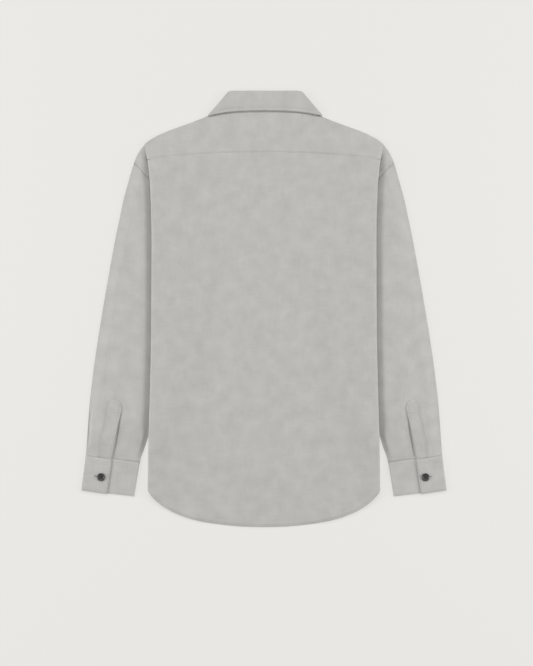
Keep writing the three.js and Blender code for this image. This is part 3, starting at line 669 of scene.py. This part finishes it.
# The dropped shoulder ends are the upper part of the flattened sleeve tube, up to the armhole seam
SLEEVE_FLAT = SLEEVE_LIFT - 0.3  # height of the sleeve where it is pressed flat
SLEEVE_CROWN = 6.5
SEWN_IN = 3.4  # length over which the sleeve goes down into the cuff's seam
SEWN_THIN, SEWN_THICK = 1.7, 3.1  # its height in that seam, in the cuff's inner half and in the lapped one
CUFF_OUTER_TOP = (324.9, -266.6)
CUFF_INNER_TOP = (226.4, -279.2)
LAP_SKEW = 1.7  # how much lower the cuff's lapped end lies than a straight band


def above_cuff(across, y):
    """Height of a place above the cuff's upper edge."""
    share = min(max((CUFF_OUTER_TOP[0] - across) / (CUFF_OUTER_TOP[0] - CUFF_INNER_TOP[0]), 0.0), 1.0)
    return y - lerp(CUFF_OUTER_TOP[1], CUFF_INNER_TOP[1], share) + LAP_SKEW * (1 - abs(2 * share - 1))


def sleeve_top(across, y):
    """Upper side of the sleeve: flat under the body, full beside it, and flatter again at the cuff."""
    start = max(fold_half(y) - 12, sleeve_inner(y) + 1)
    above = above_cuff(across, y)
    rising_over = lerp(27, 9, step(-y, 195, 235))
    full = step(across, start, start + rising_over) * step(outline_x(y) - across, 0, 22)
    inner_half = step(-y, 205, 245) * (1 - step(across, 262, 282))
    swell = SLEEVE_CROWN * full * (0.3 + 0.7 * step(above, 0, 45)) * (1 - 0.55 * inner_half)
    open_top = SLEEVE_FLAT + swell
    sewn_in = lerp(SEWN_THIN, SEWN_THICK, step(across, 275, 278))
    return lerp(min(open_top, sewn_in), open_top, step(above, 0.3, SEWN_IN))


def tube_grid(bm, side, stations, top, shape=None, wall=CLOTH, fine=40):
    """A flattened tube. stations are (outer y, inner y, rise); the section runs round from the outer edge."""
    shares = [0.01, 0.04, 0.1, 0.18, 0.28, 0.4, 0.52, 0.64, 0.76, 0.86, 0.94, 0.98]
    columns = [("under", s) for s in [0] + shares + [1]] + [("inner", a) for a in (-60, -30, 0, 30, 60)]
    columns += [("over", 1 - k / fine) for k in range(fine + 1)]
    columns += [("outer", a) for a in (60, 30, 0, -30, -60)] + [("under", 0)]

    def place(column, station):
        kind, amount = column
        outer_y, inner_y, rise = station
        start = Vector((outline_x(outer_y), outer_y))
        end = Vector((sleeve_inner(inner_y), inner_y))
        wide = (end - start).length
        radius = min(SLEEVE_FLAT / 2, wide / 3)
        if kind in ("under", "over"):
            plan = start.lerp(end, lerp(radius, wide - radius, amount) / wide)
            z = wall / 2 + 0.6 * (1 - step(above_cuff(plan.x, plan.y), -0.2, 0.6))
            if kind == "over":
                z = top(plan.x, plan.y) + rise - wall / 2 + (shape(side * plan.x, plan.y) if shape else 0)
                z = larger(z, wall * 1.5 + 0.1, 0.1)
            return side * plan.x, plan.y, z
        edge = end if kind == "inner" else start
        inward = (start - end if kind == "inner" else end - start).normalized()
        px, py, z = turned(edge, inward, amount, 0, SLEEVE_FLAT + rise, wall)
        return side * px, py, z

    return add_grid(bm, columns, stations, place)


# from the shoulder's tip, where the end stands a little fuller, down to the armhole seam
shoulder_ends = [(lerp(301, 266.9, t), lerp(296, 150, t ** 1.3), 2.4 * (1 - step(t, 0, 0.3)))
                 for t in [k / 12 for k in range(13)]]
for side in (-1, 1):
    tube_grid(bm, side, shoulder_ends, sleeve_top)
yoke = solid_wall(finish_piece(bm, "yoke_poplin", poplin_grey))
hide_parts("yoke")

# A row above the back seam, a row above each front seam underneath, and a row above each armhole seam
ARMHOLE_TOP = (239.5, 267.0)
ARMHOLE_IN = (209.5, 244.5)
bm = bmesh.new()
surface = surface_of(yoke)
sew(bm, surface, [(x, yoke_seam(abs(x)) + 2.2) for x in range(-207, 208, 3)])
for side in (-1, 1):
    sew(bm, surface, [(side * x, front_seam(x) + 2.5) for x in range(92, 206, 3)], from_below=True)
    for above in (2.0, 7.6):
        sew(bm, surface, [(side * (ARMHOLE_TOP[0] - 1.5), ARMHOLE_TOP[1] + above),
                          (side * ARMHOLE_IN[0], ARMHOLE_IN[1] + above)])
        sew(bm, surface, [(side * (ARMHOLE_TOP[0] - 1.0), ARMHOLE_TOP[1] + above), (side * 150, 175 + above)],
            from_below=True)
sewn(bm, "yoke_stitches")

# Collar stand
# A band of two layers of poplin and interlining round the neck, lapped and buttoned at the front. The neck
# edges of the yoke and the fronts are sewn in between its layers.

# (place along half, seam x, seam y, top x, top y): the front from the lap outwards, then the back
STAND_FRONT = [(0.0, -14, 300.6, -14, 326), (0.12, 4, 300.5, 2, 325.5), (0.25, 16, 300.9, 14, 326),
               (0.4, 31, 303.4, 27, 330.5), (0.65, 60, 313.4, 47, 346.5), (0.85, 80, 324.4, 58, 364),
               (1.0, 87.5, 331.0, 61, 378)]
STAND_SIDE = (97.0, 357.2, 66.0, 392.6)
STAND_ROWS = [k / 8 for k in range(9)]
STAND_BACK = [(0.0, 91, 358.8, 63, 394.4), (0.2, 77, 362.9, 55, 394.8), (0.5, 48, 366.7, 34, 394.8),
              (1.0, 0, 368.4, 0, 394.8)]


def along(rows, place):
    """The four plan values of a collar table at one place, straight between its rows."""
    for before, after in zip(rows, rows[1:]):
        if place <= after[0]:
            t = (place - before[0]) / (after[0] - before[0])
            return [lerp(before[k], after[k], t) for k in (1, 2, 3, 4)]


COLLAR_ASIDE = 2.2  # the collar lies a little to the wearer's right of the middle
COLLAR_FOLD_AWAY = (-0.92, 0.39)  # direction in plan at the folded end of the collar's side


def collar_grid(bm, side, front, turn, back, rows, low, high, fold_corner=0.0):
    """Half of a band turned at the side of the neck. fold_corner is the share of the band over which the
    turn comes round from its folded end."""
    columns = [("front", k / 24) for k in range(25)] + [("turn", a) for a in TURNS]
    columns += [("back", k / 30) for k in range(31)]

    def place(column, row):
        kind, amount = column
        if kind == "turn":
            sx, sy, tx, ty = turn
            x, y = lerp(sx, tx, row), lerp(sy, ty, row)
            away = Vector((-abs(ty - sy), -abs(tx - sx))).normalized()
            if fold_corner:
                away = Vector(COLLAR_FOLD_AWAY).lerp(away, step(row, 0, fold_corner)).normalized()
            px, py, z = turned((x, y), away, amount, low(x, y, row), high(x, y, row), reach=2.0)
            return side * px + COLLAR_ASIDE, py, z
        sx, sy, tx, ty = along(front if kind == "front" else back, amount)
        x, y = lerp(sx, tx, row), lerp(sy, ty, row)
        z = low(x, y, row) + CLOTH / 2 if kind == "front" else high(x, y, row) - CLOTH / 2
        return side * x + COLLAR_ASIDE, y, z

    return add_grid(bm, columns, rows, place)


def neck_high(x, y, row=0):
    """Upper side of the stand, level past the end of the neck line."""
    return back_base(min(x, 105), y) + CLOTH


bm = bmesh.new()
for side in (-1, 1):
    def stand_low(x, y, row, lap=LAYER if side > 0 else 0.0):
        return larger(leaf_lift(abs(x), y), closure_lift(abs(x), y)) + lap * (1 - step(x, 15, 32))

    collar_grid(bm, side, STAND_FRONT, STAND_SIDE, STAND_BACK, STAND_ROWS, stand_low, neck_high)
stand = solid_wall(finish_piece(bm, "collar_stand_poplin", poplin_grey))
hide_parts("collar_stand")

# Collar fall
# The part that shows: two layers of poplin turned over the stand, with a rolled fold, pressed edges,
# a row of stitches near the edge and a pointed leaf on each side of the front.

# (place along half, fold x, fold y, edge x, edge y)
FALL_FRONT = [(0.0, 18.5, 329.0, 48, 262), (0.33, 33, 337.5, 62, 284), (0.66, 46.5, 350, 76, 306),
              (1.0, 58, 368, 90, 328)]
FALL_SIDE = (68.8, 394.6, 104.4, 353.2)
FALL_BACK = [(0.0, 64.5, 396.4, 98.6, 353.2), (0.08, 60.5, 397.0, 93, 354.6), (0.25, 48, 397.1, 74, 358.2),
             (0.5, 32, 397.1, 50, 360.7), (0.75, 16, 397.1, 25, 361.6), (1.0, 0, 397.1, 0, 361.9)]
FALL_ROWS = [0, 0.015, 0.035, 0.06, 0.1, 0.16, 0.24, 0.33, 0.43, 0.53, 0.62, 0.7, 0.77, 0.82, 0.85, 0.88]
FALL_ROWS += [0.92, 0.96, 0.985, 1.0]
FALL_WALL = 1.1
FALL_FREE = 3.0  # air under the fall
EDGE_FREE = 2.2  # and under its pressed edge
FALL_ROLL = 0.5  # how much the fold stands above the flat of the collar
FALL_STITCH = 0.83  # share of the fall's depth at which its row of stitches runs, in a shallow groove
FALL_GROOVE = 0.25


def fall_high(x, y, row):
    roll = FALL_ROLL * math.exp(-((row - 0.09) / 0.12) ** 2)
    drop = (LAYER + 1.8) * (1 - math.sqrt(max(0.0, 1 - (1 - min(row / 0.07, 1)) ** 2)))
    groove = FALL_GROOVE * math.exp(-((row - FALL_STITCH) / 0.018) ** 2)
    free = lerp(FALL_FREE, EDGE_FREE, step(row, 0.5, 1.0))
    return neck_high(x, y) + LAYER + free + roll - drop - groove


bm = bmesh.new()
for side in (-1, 1):
    collar_grid(bm, side, FALL_FRONT, FALL_SIDE, FALL_BACK, FALL_ROWS, lambda x, y, row: 0.0, fall_high, 0.14)
fall = solid_wall(finish_piece(bm, "collar_fall_poplin", poplin_grey), FALL_WALL)
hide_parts("collar_fall")

COLLAR_BUTTON_Y = 313
POINT_IN = 0.06  # the rows turn this share of the fall's length before its point


def collar_spot(rows, side, place, share):
    """Plan point of a collar table at a place along it and a share of the way to its second edge."""
    sx, sy, tx, ty = along(rows, place)
    return side * lerp(sx, tx, share) + COLLAR_ASIDE, lerp(sy, ty, share)


bm, slit_shades = bmesh.new(), bmesh.new()
surface = surface_of(fall)
stand_surface = surface_of(stand)
for side in (-1, 1):
    for rows, below in ((FALL_BACK, False), (FALL_FRONT, True)):
        path = [collar_spot(rows, side, lerp(POINT_IN, 1, k / 30), FALL_STITCH) for k in range(31)]
        sew(bm, surface, path, from_below=below)
    path = [collar_spot(FALL_FRONT, side, POINT_IN, share) for share in (0.05, FALL_STITCH)]
    sew(bm, surface, path, from_below=True)
    for share in (0.1, 0.9):
        path = [collar_spot(STAND_FRONT, side, k / 30, share) for k in range(31)]
        sew(bm, stand_surface, path, from_below=True)
buttonhole(bm, slit_shades, stand_surface, -HOLE_PAST, COLLAR_BUTTON_Y, 0, from_below=True)
sewn(bm, "collar_stitches")
# the dark bar in the collar's buttonhole slit is painted shade
dark_piece(slit_shades, "collar_buttonhole_painted_slit_shade")

# Sleeves
# Each sleeve is one flattened tube of poplin from the armhole seam to the cuff. It lies under the body
# down to where its inner edge comes out, and is pleated a little into the cuff.

SLEEVE_STATIONS = [(266.3, 149.2), (235, 118), (195, 95), (150, 68), (105, 38), (55, 4), (0, -38), (-50, -80),
                   (-95, -117), (-135, -150), (-175, -185), (-210, -217), (-238, -246), (-266.4, -277.4)]
inner_end = through(sorted(SLEEVE_STATIONS))
SLEEVE_FROM, SLEEVE_TO = 266.7, -269.4  # outer edge, from the armhole seam into the cuff
SLEEVE_SLANT = 0.14  # slope of the cloth's grain, in radians
# Creases of the right sleeve, mirrored on the left: from (x, y) to (x, y), half width and depth in mm
SLEEVE_CREASES = [
    (303, -238, 307, -268, 3.0, 0.5),
    (262, -40, 290, -160, 12, 0.5),
    (236, 120, 262, 20, 10, 0.5),
    (238, -205, 244, -275, 6, 0.5),
    (232, 215, 240, 170, 7, 0.4),
    (286, 10, 298, -90, 9, -0.4),
]
# The slit beside the placket strip, and the folds that open along the outer edges, deeper on the left
SLIT = (262.4, -200, 274.6, -264, 1.5, 2.0)
LEFT_WEDGE = [(-316.8, -190, -320.6, -248, 1.6, 4.5), (-310.5, -188, -314.5, -250, 4.5, -2.4)]
RIGHT_WEDGE = [(319.0, -186, 323.4, -262, 1.1, 2.0)]

for side, name in ((-1, "left"), (1, "right")):
    creases = [(side * a, b, side * c, d, e, f) for a, b, c, d, e, f in SLEEVE_CREASES + [SLIT]]
    creases += LEFT_WEDGE if side < 0 else RIGHT_WEDGE

    def sleeve_shape(x, y, rows=creases):
        """The creases, which fade out where the sleeve goes under the body."""
        return -creased(rows, x, y) * step(abs(x), fold_half(y), fold_half(y) + 20)

    outer_ys = [lerp(SLEEVE_FROM, SLEEVE_TO, k / 120) for k in range(121)]
    stations = [(y, inner_end(y) + min(y - SLEEVE_STATIONS[-1][0], 0), 0.0) for y in outer_ys]
    bm = bmesh.new()
    tube_grid(bm, side, stations, sleeve_top, sleeve_shape, fine=100)
    piece = solid_wall(finish_piece(bm, name + "_sleeve_poplin", poplin_grey, grain=side * SLEEVE_SLANT))
    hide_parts(name + "_sleeve")

# Cuffs and sleeve plackets
# Each barrel cuff is a double band of poplin over interlining, with its lapped end on top. The pointed
# placket strip above it is sewn over the sleeve's slit, with two rows across it below its point.

CUFF_WALL = 1.2
CUFF_OUTER_END = (333.2, -330.4)
CUFF_INNER_END = (236.4, -341.2)
LAP_EDGE = 0.495  # the lapped end, as a share of the way from the outer to the inner edge
UNDER_END = 0.24  # and the end of the layer beneath it
CUFF_LAP_TOP = 3 * CUFF_WALL + 0.6
CUFF_UNDER_TOP = 2 * CUFF_WALL + 0.3
CUFF_SWELL = 0.5
CUFF_SLANT = 0.13
CUFF_DOWNS = [0, 0.01, 0.03, 0.05, 0.08] + [0.12 + 0.76 * k / 12 for k in range(13)]
CUFF_DOWNS += [0.92, 0.95, 0.97, 0.99, 1.0]


def cuff_plan(across, down):
    top = [lerp(CUFF_OUTER_TOP[k], CUFF_INNER_TOP[k], across) for k in (0, 1)]
    end = [lerp(CUFF_OUTER_END[k], CUFF_INNER_END[k], across) for k in (0, 1)]
    return lerp(top[0], end[0], down), lerp(top[1], end[1], down)


def lap_plan(across, down):
    x, y = cuff_plan(across, down)
    return x, y - LAP_SKEW * across / LAP_EDGE


def cuff_swell(down):
    """The cuff is thickest just inside its stitched edges."""
    return CUFF_SWELL * step(down, 0, 0.08) * (1 - step(down, 0.92, 1.0))


def cuff_grid(bm, side):
    """A cuff. Its columns go from the lapped end to the outer edge, along beneath to the inner edge, and back
    on top under the lap."""
    lap = [LAP_EDGE - 0.005 - k * (LAP_EDGE - 0.035) / 24 for k in range(25)]
    under = [0.97 - k * (0.97 - UNDER_END) / 24 for k in range(25)]
    table = [0.03 + k * 0.94 / 12 for k in range(13)]
    columns = [("lap", a, CUFF_LAP_TOP - CUFF_WALL / 2, 1) for a in lap]
    columns += [("turn", 0.0, a, CUFF_LAP_TOP) for a in reversed(TURNS)]
    columns += [("flat", a, CUFF_WALL / 2, 0) for a in table]
    columns += [("turn", 1.0, a, CUFF_UNDER_TOP) for a in TURNS]
    columns += [("flat", a, CUFF_UNDER_TOP - CUFF_WALL / 2, 0.4) for a in under]

    def place(column, down):
        kind, across, *section = column
        x, y = lap_plan(across, down) if kind == "lap" else cuff_plan(across, down)
        if kind in ("lap", "flat"):
            height, swell = section
            return side * x, y, height + swell * cuff_swell(down)
        angle, high = section
        inward = -1 if across < 0.5 else 1
        px, py, z = turned((x, y), (inward, 0), angle, 0, high, CUFF_WALL)
        return side * px, py, z

    return add_grid(bm, columns, CUFF_DOWNS, place)


# (y, x) of the placket strip's two long edges; its cross lines come down towards the inner edge
PLACKET_INNER = through([(-276, 278.2), (-269.2, 277.0), (-252.8, 274.6), (-238.2, 271.9), (-221.9, 268.3),
                         (-205.5, 264.4), (-191.6, 260.3), (-180, 258.4), (-170, 258.2)])
PLACKET_OUTER = through([(-272, 300.4), (-265.4, 299.7), (-246.2, 297.9), (-231.5, 294.9), (-206.4, 290.1),
                         (-193.3, 287.4), (-180, 285.6)])
PLACKET_TOP = -178.6
PLACKET_END = -271.5
PLACKET_TILT = 4.7
PLACKET_ARCH = 16.0
ARCH_PEAK = 0.37
RIGHT_NARROWER = 0.86  # the right strip lies turned a little on its edge
SLIT_OPEN = 1.5  # the strip's free edge stands up over the slit
PLACKET_WALL = 0.8
PLACKET_SLANT = 0.19
PLACKET_ACROSS = [0, 0.03, 0.08] + [0.12 + 0.76 * k / 8 for k in range(9)] + [0.92, 0.97, 1.0]
PLACKET_DOWN = [0, 0.01, 0.03] + [0.05 + 0.95 * k / 30 for k in range(31)]


def placket_plan(across, down, side):
    y = lerp(PLACKET_TOP, PLACKET_END, down) - PLACKET_TILT * (1 - across)
    x = lerp(PLACKET_INNER(y), PLACKET_OUTER(y), across if side < 0 else across * RIGHT_NARROWER)
    from_peak = (across - ARCH_PEAK) / (ARCH_PEAK if across < ARCH_PEAK else 1 - ARCH_PEAK)
    return x, y + PLACKET_ARCH * math.sqrt(max(0.0, 1 - abs(from_peak) ** 2.2)) * (1 - down) ** 4


def placket_z(across, down, side):
    x, y = placket_plan(across, down, side)
    past = above_cuff(x, y)
    lifted = SLIT_OPEN * (1 - step(across, 0, 0.35)) * step(down, 0.16, 0.45) * step(past, 1, 12)
    return sleeve_top(x, y) + 0.12 + lifted - 0.9 * (1 - step(past, 0.2, 2))


for side, name in ((-1, "left"), (1, "right")):
    bm = bmesh.new()
    cuff_grid(bm, side)
    piece = finish_piece(bm, name + "_cuff_poplin", poplin_grey, grain=side * CUFF_SLANT)
    solid_wall(piece, CUFF_WALL)
    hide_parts(name + "_cuff")

    def strip_place(across, down, s=side):
        x, y = placket_plan(across, down, s)
        return s * x, y, placket_z(across, down, s) + CLOTH / 2

    bm = bmesh.new()
    add_grid(bm, PLACKET_ACROSS, PLACKET_DOWN, strip_place)
    piece = finish_piece(bm, name + "_sleeve_placket_poplin", poplin_grey, grain=side * PLACKET_SLANT)
    solid_wall(piece, PLACKET_WALL)
    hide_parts(name + "_sleeve_placket")

# Rows along the cuff's seam and free edges, round the placket strip and across it below its point, and
# the cuff's buttonhole, which runs along the band under the button.

BUTTON_ACROSS = {-1: 0.338, 1: 0.365}
BUTTON_DOWN = 0.55
HOLE_OUTWARD = 4.6  # the cuff hole's middle from the button's
HOLE_UP = 0.8
HOLE_SLANT = 0.15
LAP_IN = 0.03  # the upright row from the lapped end, as a share of the cuff's width
CUFF_ROWS = (0.085, 0.16, 0.955)
PLACKET_IN = 0.13  # the strip's rows from its edges, as a share of its width
for side, name in ((-1, "left"), (1, "right")):
    bm, slit_shades = bmesh.new(), bmesh.new()
    surface = surface_of(bpy.data.objects[name + "_cuff_poplin"])

    def band(places, plan=cuff_plan, s=side):
        return [(s * plan(a, d)[0], plan(a, d)[1]) for a, d in places]

    for down in CUFF_ROWS:
        sew(bm, surface, band([(0.02, down), (LAP_EDGE - LAP_IN, down)], lap_plan))
        sew(bm, surface, band([(LAP_EDGE + 0.02, down), (0.975, down)]))
    sew(bm, surface, band([(LAP_EDGE - LAP_IN, 0.03), (LAP_EDGE - LAP_IN, 0.95)], lap_plan))
    for down in (CUFF_ROWS[0], CUFF_ROWS[-1]):
        sew(bm, surface, band([(0.03, down), (0.97, down)]), from_below=True)
    x, y = cuff_plan(BUTTON_ACROSS[side], BUTTON_DOWN)
    buttonhole(bm, slit_shades, surface, side * (x + HOLE_OUTWARD), y + HOLE_UP, side * HOLE_SLANT)
    surface = surface_of(bpy.data.objects[name + "_sleeve_placket_poplin"])

    def strip(places, s=side):
        return [(s * placket_plan(a, d, s)[0], placket_plan(a, d, s)[1]) for a, d in places]

    round_path = [(PLACKET_IN, 0.95 - 0.9 * k / 20) for k in range(21)]
    round_path += [(lerp(PLACKET_IN, 1 - PLACKET_IN, k / 12), 0.03) for k in range(13)]
    round_path += [(1 - PLACKET_IN, 0.05 + 0.9 * k / 20) for k in range(21)]
    sew(bm, surface, strip(round_path))
    for down in (0.1, 0.14):
        sew(bm, surface, strip([(0.14, down), (0.86, down)]))
    sewn(bm, name + "_cuff_and_placket_stitches")
    # the dark bar in each cuff's buttonhole slit is painted shade
    dark_piece(slit_shades, name + "_cuff_buttonhole_painted_slit_shade")

# Buttons
# Dark horn-effect polyester, turned with a raised rim and a dished face and drilled with four holes. One
# is sewn on each cuff, six down the placket strip and one on the collar stand, each on a neck of thread.

BUTTON_THICK = 2.6
FACE_LEVEL = 1.55  # height of the dished face above the back
# (radius, height), from the middle of the back round the rim to the middle of the face
BUTTON_PROFILE = [(0, 0), (5.9, 0), (6.7, 0.25), (7.15, 0.8), (7.25, 1.3), (7.15, 1.9), (6.8, 2.4),
                  (6.3, BUTTON_THICK), (5.8, 2.5), (5.4, 2.15), (4.9, 1.75), (4.2, 1.6), (2.5, FACE_LEVEL),
                  (0, FACE_LEVEL)]
HOLE_OFFSET = 1.65
HOLE_RADIUS = 0.85


def horn_polyester():
    """Cast polyester sheet, turned and tumbled to a soft gloss. Its clouds are drawn 4 mm wide."""
    material = bpy.data.materials.new("polyester_horn_effect_tumbled")
    material.use_nodes = True
    tree = material.node_tree
    tree.nodes.clear()
    place = node(tree, "ShaderNodeTexCoord").outputs["Object"]
    clouds = node(tree, "ShaderNodeTexNoise", links={"Vector": place},
                  values={"Scale": 260.0, "Detail": 3.0, "Distortion": 1.5})
    tint = node(tree, "ShaderNodeMix", {"data_type": "RGBA"}, {"Factor": clouds.outputs[0]},
                {"A": linear("#232221"), "B": linear("#4c4a46")})
    shader = node(tree, "ShaderNodeBsdfPrincipled", links={"Base Color": tint.outputs["Result"]},
                  values={"Roughness": 0.38, "IOR": 1.54, "Coat Weight": 0.15, "Coat Roughness": 0.25})
    node(tree, "ShaderNodeOutputMaterial", links={"Surface": shader.outputs[0]})
    return material


horn = horn_polyester()


def make_button(name, replaced, x, y, z, face_up, turn):
    """The button's back rests at z where its face is up, and its face is at z where it is down."""
    bm = bmesh.new()
    verts = [bm.verts.new((r * MM, 0, h * MM)) for r, h in BUTTON_PROFILE]
    edges = [bm.edges.new(pair) for pair in zip(verts, verts[1:])]
    bmesh.ops.spin(bm, geom=verts + edges, cent=(0, 0, 0), axis=(0, 0, 1), angle=2 * math.pi, steps=40,
                   use_merge=True)
    bmesh.ops.remove_doubles(bm, verts=bm.verts, dist=2e-5)
    bmesh.ops.recalc_face_normals(bm, faces=bm.faces)
    mesh = bpy.data.meshes.new(name)
    bm.to_mesh(mesh)
    bm.free()
    disc = bpy.data.objects.new(name, mesh)
    bpy.context.collection.objects.link(disc)
    cut = bmesh.new()
    for sx, sy in ((1, 1), (1, -1), (-1, 1), (-1, -1)):
        at = Matrix.Translation((sx * HOLE_OFFSET * MM, sy * HOLE_OFFSET * MM, BUTTON_THICK / 2 * MM))
        bmesh.ops.create_cone(cut, cap_ends=True, segments=14, radius1=HOLE_RADIUS * MM,
                              radius2=HOLE_RADIUS * MM, depth=4 * MM, matrix=at)
    drill_mesh = bpy.data.meshes.new("drill")
    cut.to_mesh(drill_mesh)
    cut.free()
    drill = bpy.data.objects.new("drill", drill_mesh)
    bpy.context.collection.objects.link(drill)
    holes = disc.modifiers.new("holes", "BOOLEAN")
    holes.object = drill
    holes.solver = "EXACT"
    drilled = bpy.data.meshes.new_from_object(disc.evaluated_get(bpy.context.evaluated_depsgraph_get()))
    disc.modifiers.clear()
    bpy.data.objects.remove(drill)
    face_down = Matrix.Translation((0, 0, BUTTON_THICK * MM)) @ Matrix.Rotation(math.pi, 4, "X")
    flip = Matrix() if face_up else face_down
    drilled.transform(Matrix.Translation((x * MM, y * MM, z * MM)) @ Matrix.Rotation(turn, 4, "Z") @ flip)
    disc.data = drilled
    disc.data.materials.clear()
    disc.data.materials.append(horn)
    for polygon in disc.data.polygons:
        polygon.use_smooth = True
    disc.data.set_sharp_from_angle(angle=math.radians(50))
    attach(disc, "root")
    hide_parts(replaced)
    return disc


BUTTON_GAP = 0.6  # the thread's neck between the button and the cloth
NECK_WIDE = 3.6
SEWN_BAR = 1.3  # thickness of the bar of thread between two holes
SEWN_REACH = 1.15  # how far the bar reaches, with the hole's offset as 1
threads = bmesh.new()


def sew_on(x, y, z, face_up, turn):
    """Two bars of thread between the holes of a button, and the neck of thread behind it."""
    up = 1 if face_up else -1
    face = z + FACE_LEVEL if face_up else z + BUTTON_THICK - FACE_LEVEL
    back = z if face_up else z + BUTTON_THICK
    for sign in (-1, 1):
        ends = []
        for end in (-SEWN_REACH, SEWN_REACH):
            ax, ay = end * HOLE_OFFSET, sign * HOLE_OFFSET
            ends.append(Vector((x + ax * math.cos(turn) - ay * math.sin(turn),
                                y + ax * math.sin(turn) + ay * math.cos(turn), face)) * MM)
        add_bar(threads, ends[0], ends[1], SEWN_BAR)
    neck = Matrix.Translation(Vector((x, y, back - up * BUTTON_GAP / 2)) * MM)
    size = Matrix.Diagonal((NECK_WIDE / 2 * MM, NECK_WIDE / 2 * MM, BUTTON_GAP * MM, 1))
    bmesh.ops.create_icosphere(threads, subdivisions=2, radius=1, matrix=neck @ size)


# Each button is sewn on at a turn of its own: (piece, node, x, y, z, face up, turn)
BUTTONS = []
for side, name in ((-1, "left"), (1, "right")):
    x, y = cuff_plan(BUTTON_ACROSS[side], BUTTON_DOWN)
    BUTTONS.append((name + "_cuff_button_horn", name + "_cuff_button", side * x, y, CUFF_LAP_TOP + BUTTON_GAP,
                    True, side * 0.5))
for k, y in enumerate(FRONT_BUTTONS):
    BUTTONS.append((f"front_button_horn_{k + 1}", f"front_button_{k + 1}", 0, y, 0, False, 0.3 * k))
BUTTONS.append(("collar_button_horn", "collar_button", 0, COLLAR_BUTTON_Y, 0, False, 0.2))
for name, replaced, x, y, z, face_up, turn in BUTTONS:
    make_button(name, replaced, x, y, z, face_up, turn)
    sew_on(x, y, z, face_up, turn)
dark_piece(threads, "button_threads")

# Floor, light and camera
# The shirt lies on an opal light table, whose glow makes the ground white and softens every shadow. Three
# softboxes stand round it, and the camera looks straight down.

TABLE_BELOW = 0.4  # mm under the shirt, so that the two surfaces stay apart
TABLE_GLOW = 0.665
ROOM_GLOW = 0.28
floor_mesh = bmesh.new()
bmesh.ops.create_grid(floor_mesh, x_segments=1, y_segments=1, size=20)
ground = bpy.data.meshes.new("ground")
floor_mesh.to_mesh(ground)
floor_mesh.free()
floor = bpy.data.objects.new("ground", ground)
bpy.context.collection.objects.link(floor)
floor.location = (0, 0, -TABLE_BELOW * MM)
opal = bpy.data.materials.new("opal_acrylic_light_table")
opal.use_nodes = True
opal_shader = opal.node_tree.nodes["Principled BSDF"]
opal_shader.inputs["Base Color"].default_value = linear("#7c7b79")
opal_shader.inputs["Roughness"].default_value = 1.0
opal_shader.inputs["Emission Color"].default_value = linear("#f5f4f0")
opal_shader.inputs["Emission Strength"].default_value = TABLE_GLOW
ground.materials.append(opal)

world = bpy.data.worlds.new("soft_room")
world.use_nodes = True
room = world.node_tree.nodes["Background"]
room.inputs["Color"].default_value = (1.0, 1.0, 1.0, 1.0)
room.inputs["Strength"].default_value = ROOM_GLOW
bpy.context.scene.world = world

# Softboxes stand to the left, to the right and past the collar, and the side folds and the collar throw
# soft shadows: (bearing in degrees, distance, height, watts, tall, wide), with lengths in metres
SOFTBOXES = [(0, 2.6, 1.25, 49.5, 1.3, 2.2), (90, 6.0, 6.0, 256, 1.6, 5.0), (180, 2.6, 1.25, 49.5, 1.3, 2.2)]
for bearing, far, high, watts, tall, wide in SOFTBOXES:
    box_data = bpy.data.lights.new("softbox", "AREA")
    box_data.shape = "RECTANGLE"
    box_data.size = tall
    box_data.size_y = wide
    box_data.energy = watts
    box = bpy.data.objects.new("softbox", box_data)
    turn = math.radians(bearing)
    box.location = (far * math.cos(turn), far * math.sin(turn), high)
    box.rotation_euler = (0, math.atan2(far, high), turn)
    bpy.context.collection.objects.link(box)

PIXEL = 1.82  # mm on the table for each pixel of the picture
PICTURE_HIGH = 666  # pixels
PICTURE_MIDDLE = (2.5, -23.9)  # pixels from the shirt's origin
SHIRT_TOP = 6.0  # mm, the height that the scale is true at
camera_data = bpy.data.cameras.new("overhead")
camera_data.lens = 100
camera_data.sensor_width = 36
camera_data.clip_end = 50
camera = bpy.data.objects.new("overhead", camera_data)
away = PICTURE_HIGH * PIXEL * MM * camera_data.lens / camera_data.sensor_width
camera.location = (PICTURE_MIDDLE[0] * PIXEL * MM, PICTURE_MIDDLE[1] * PIXEL * MM, away + SHIRT_TOP * MM)
bpy.context.collection.objects.link(camera)
bpy.context.scene.camera = camera
bpy.context.scene.view_settings.view_transform = "Standard"
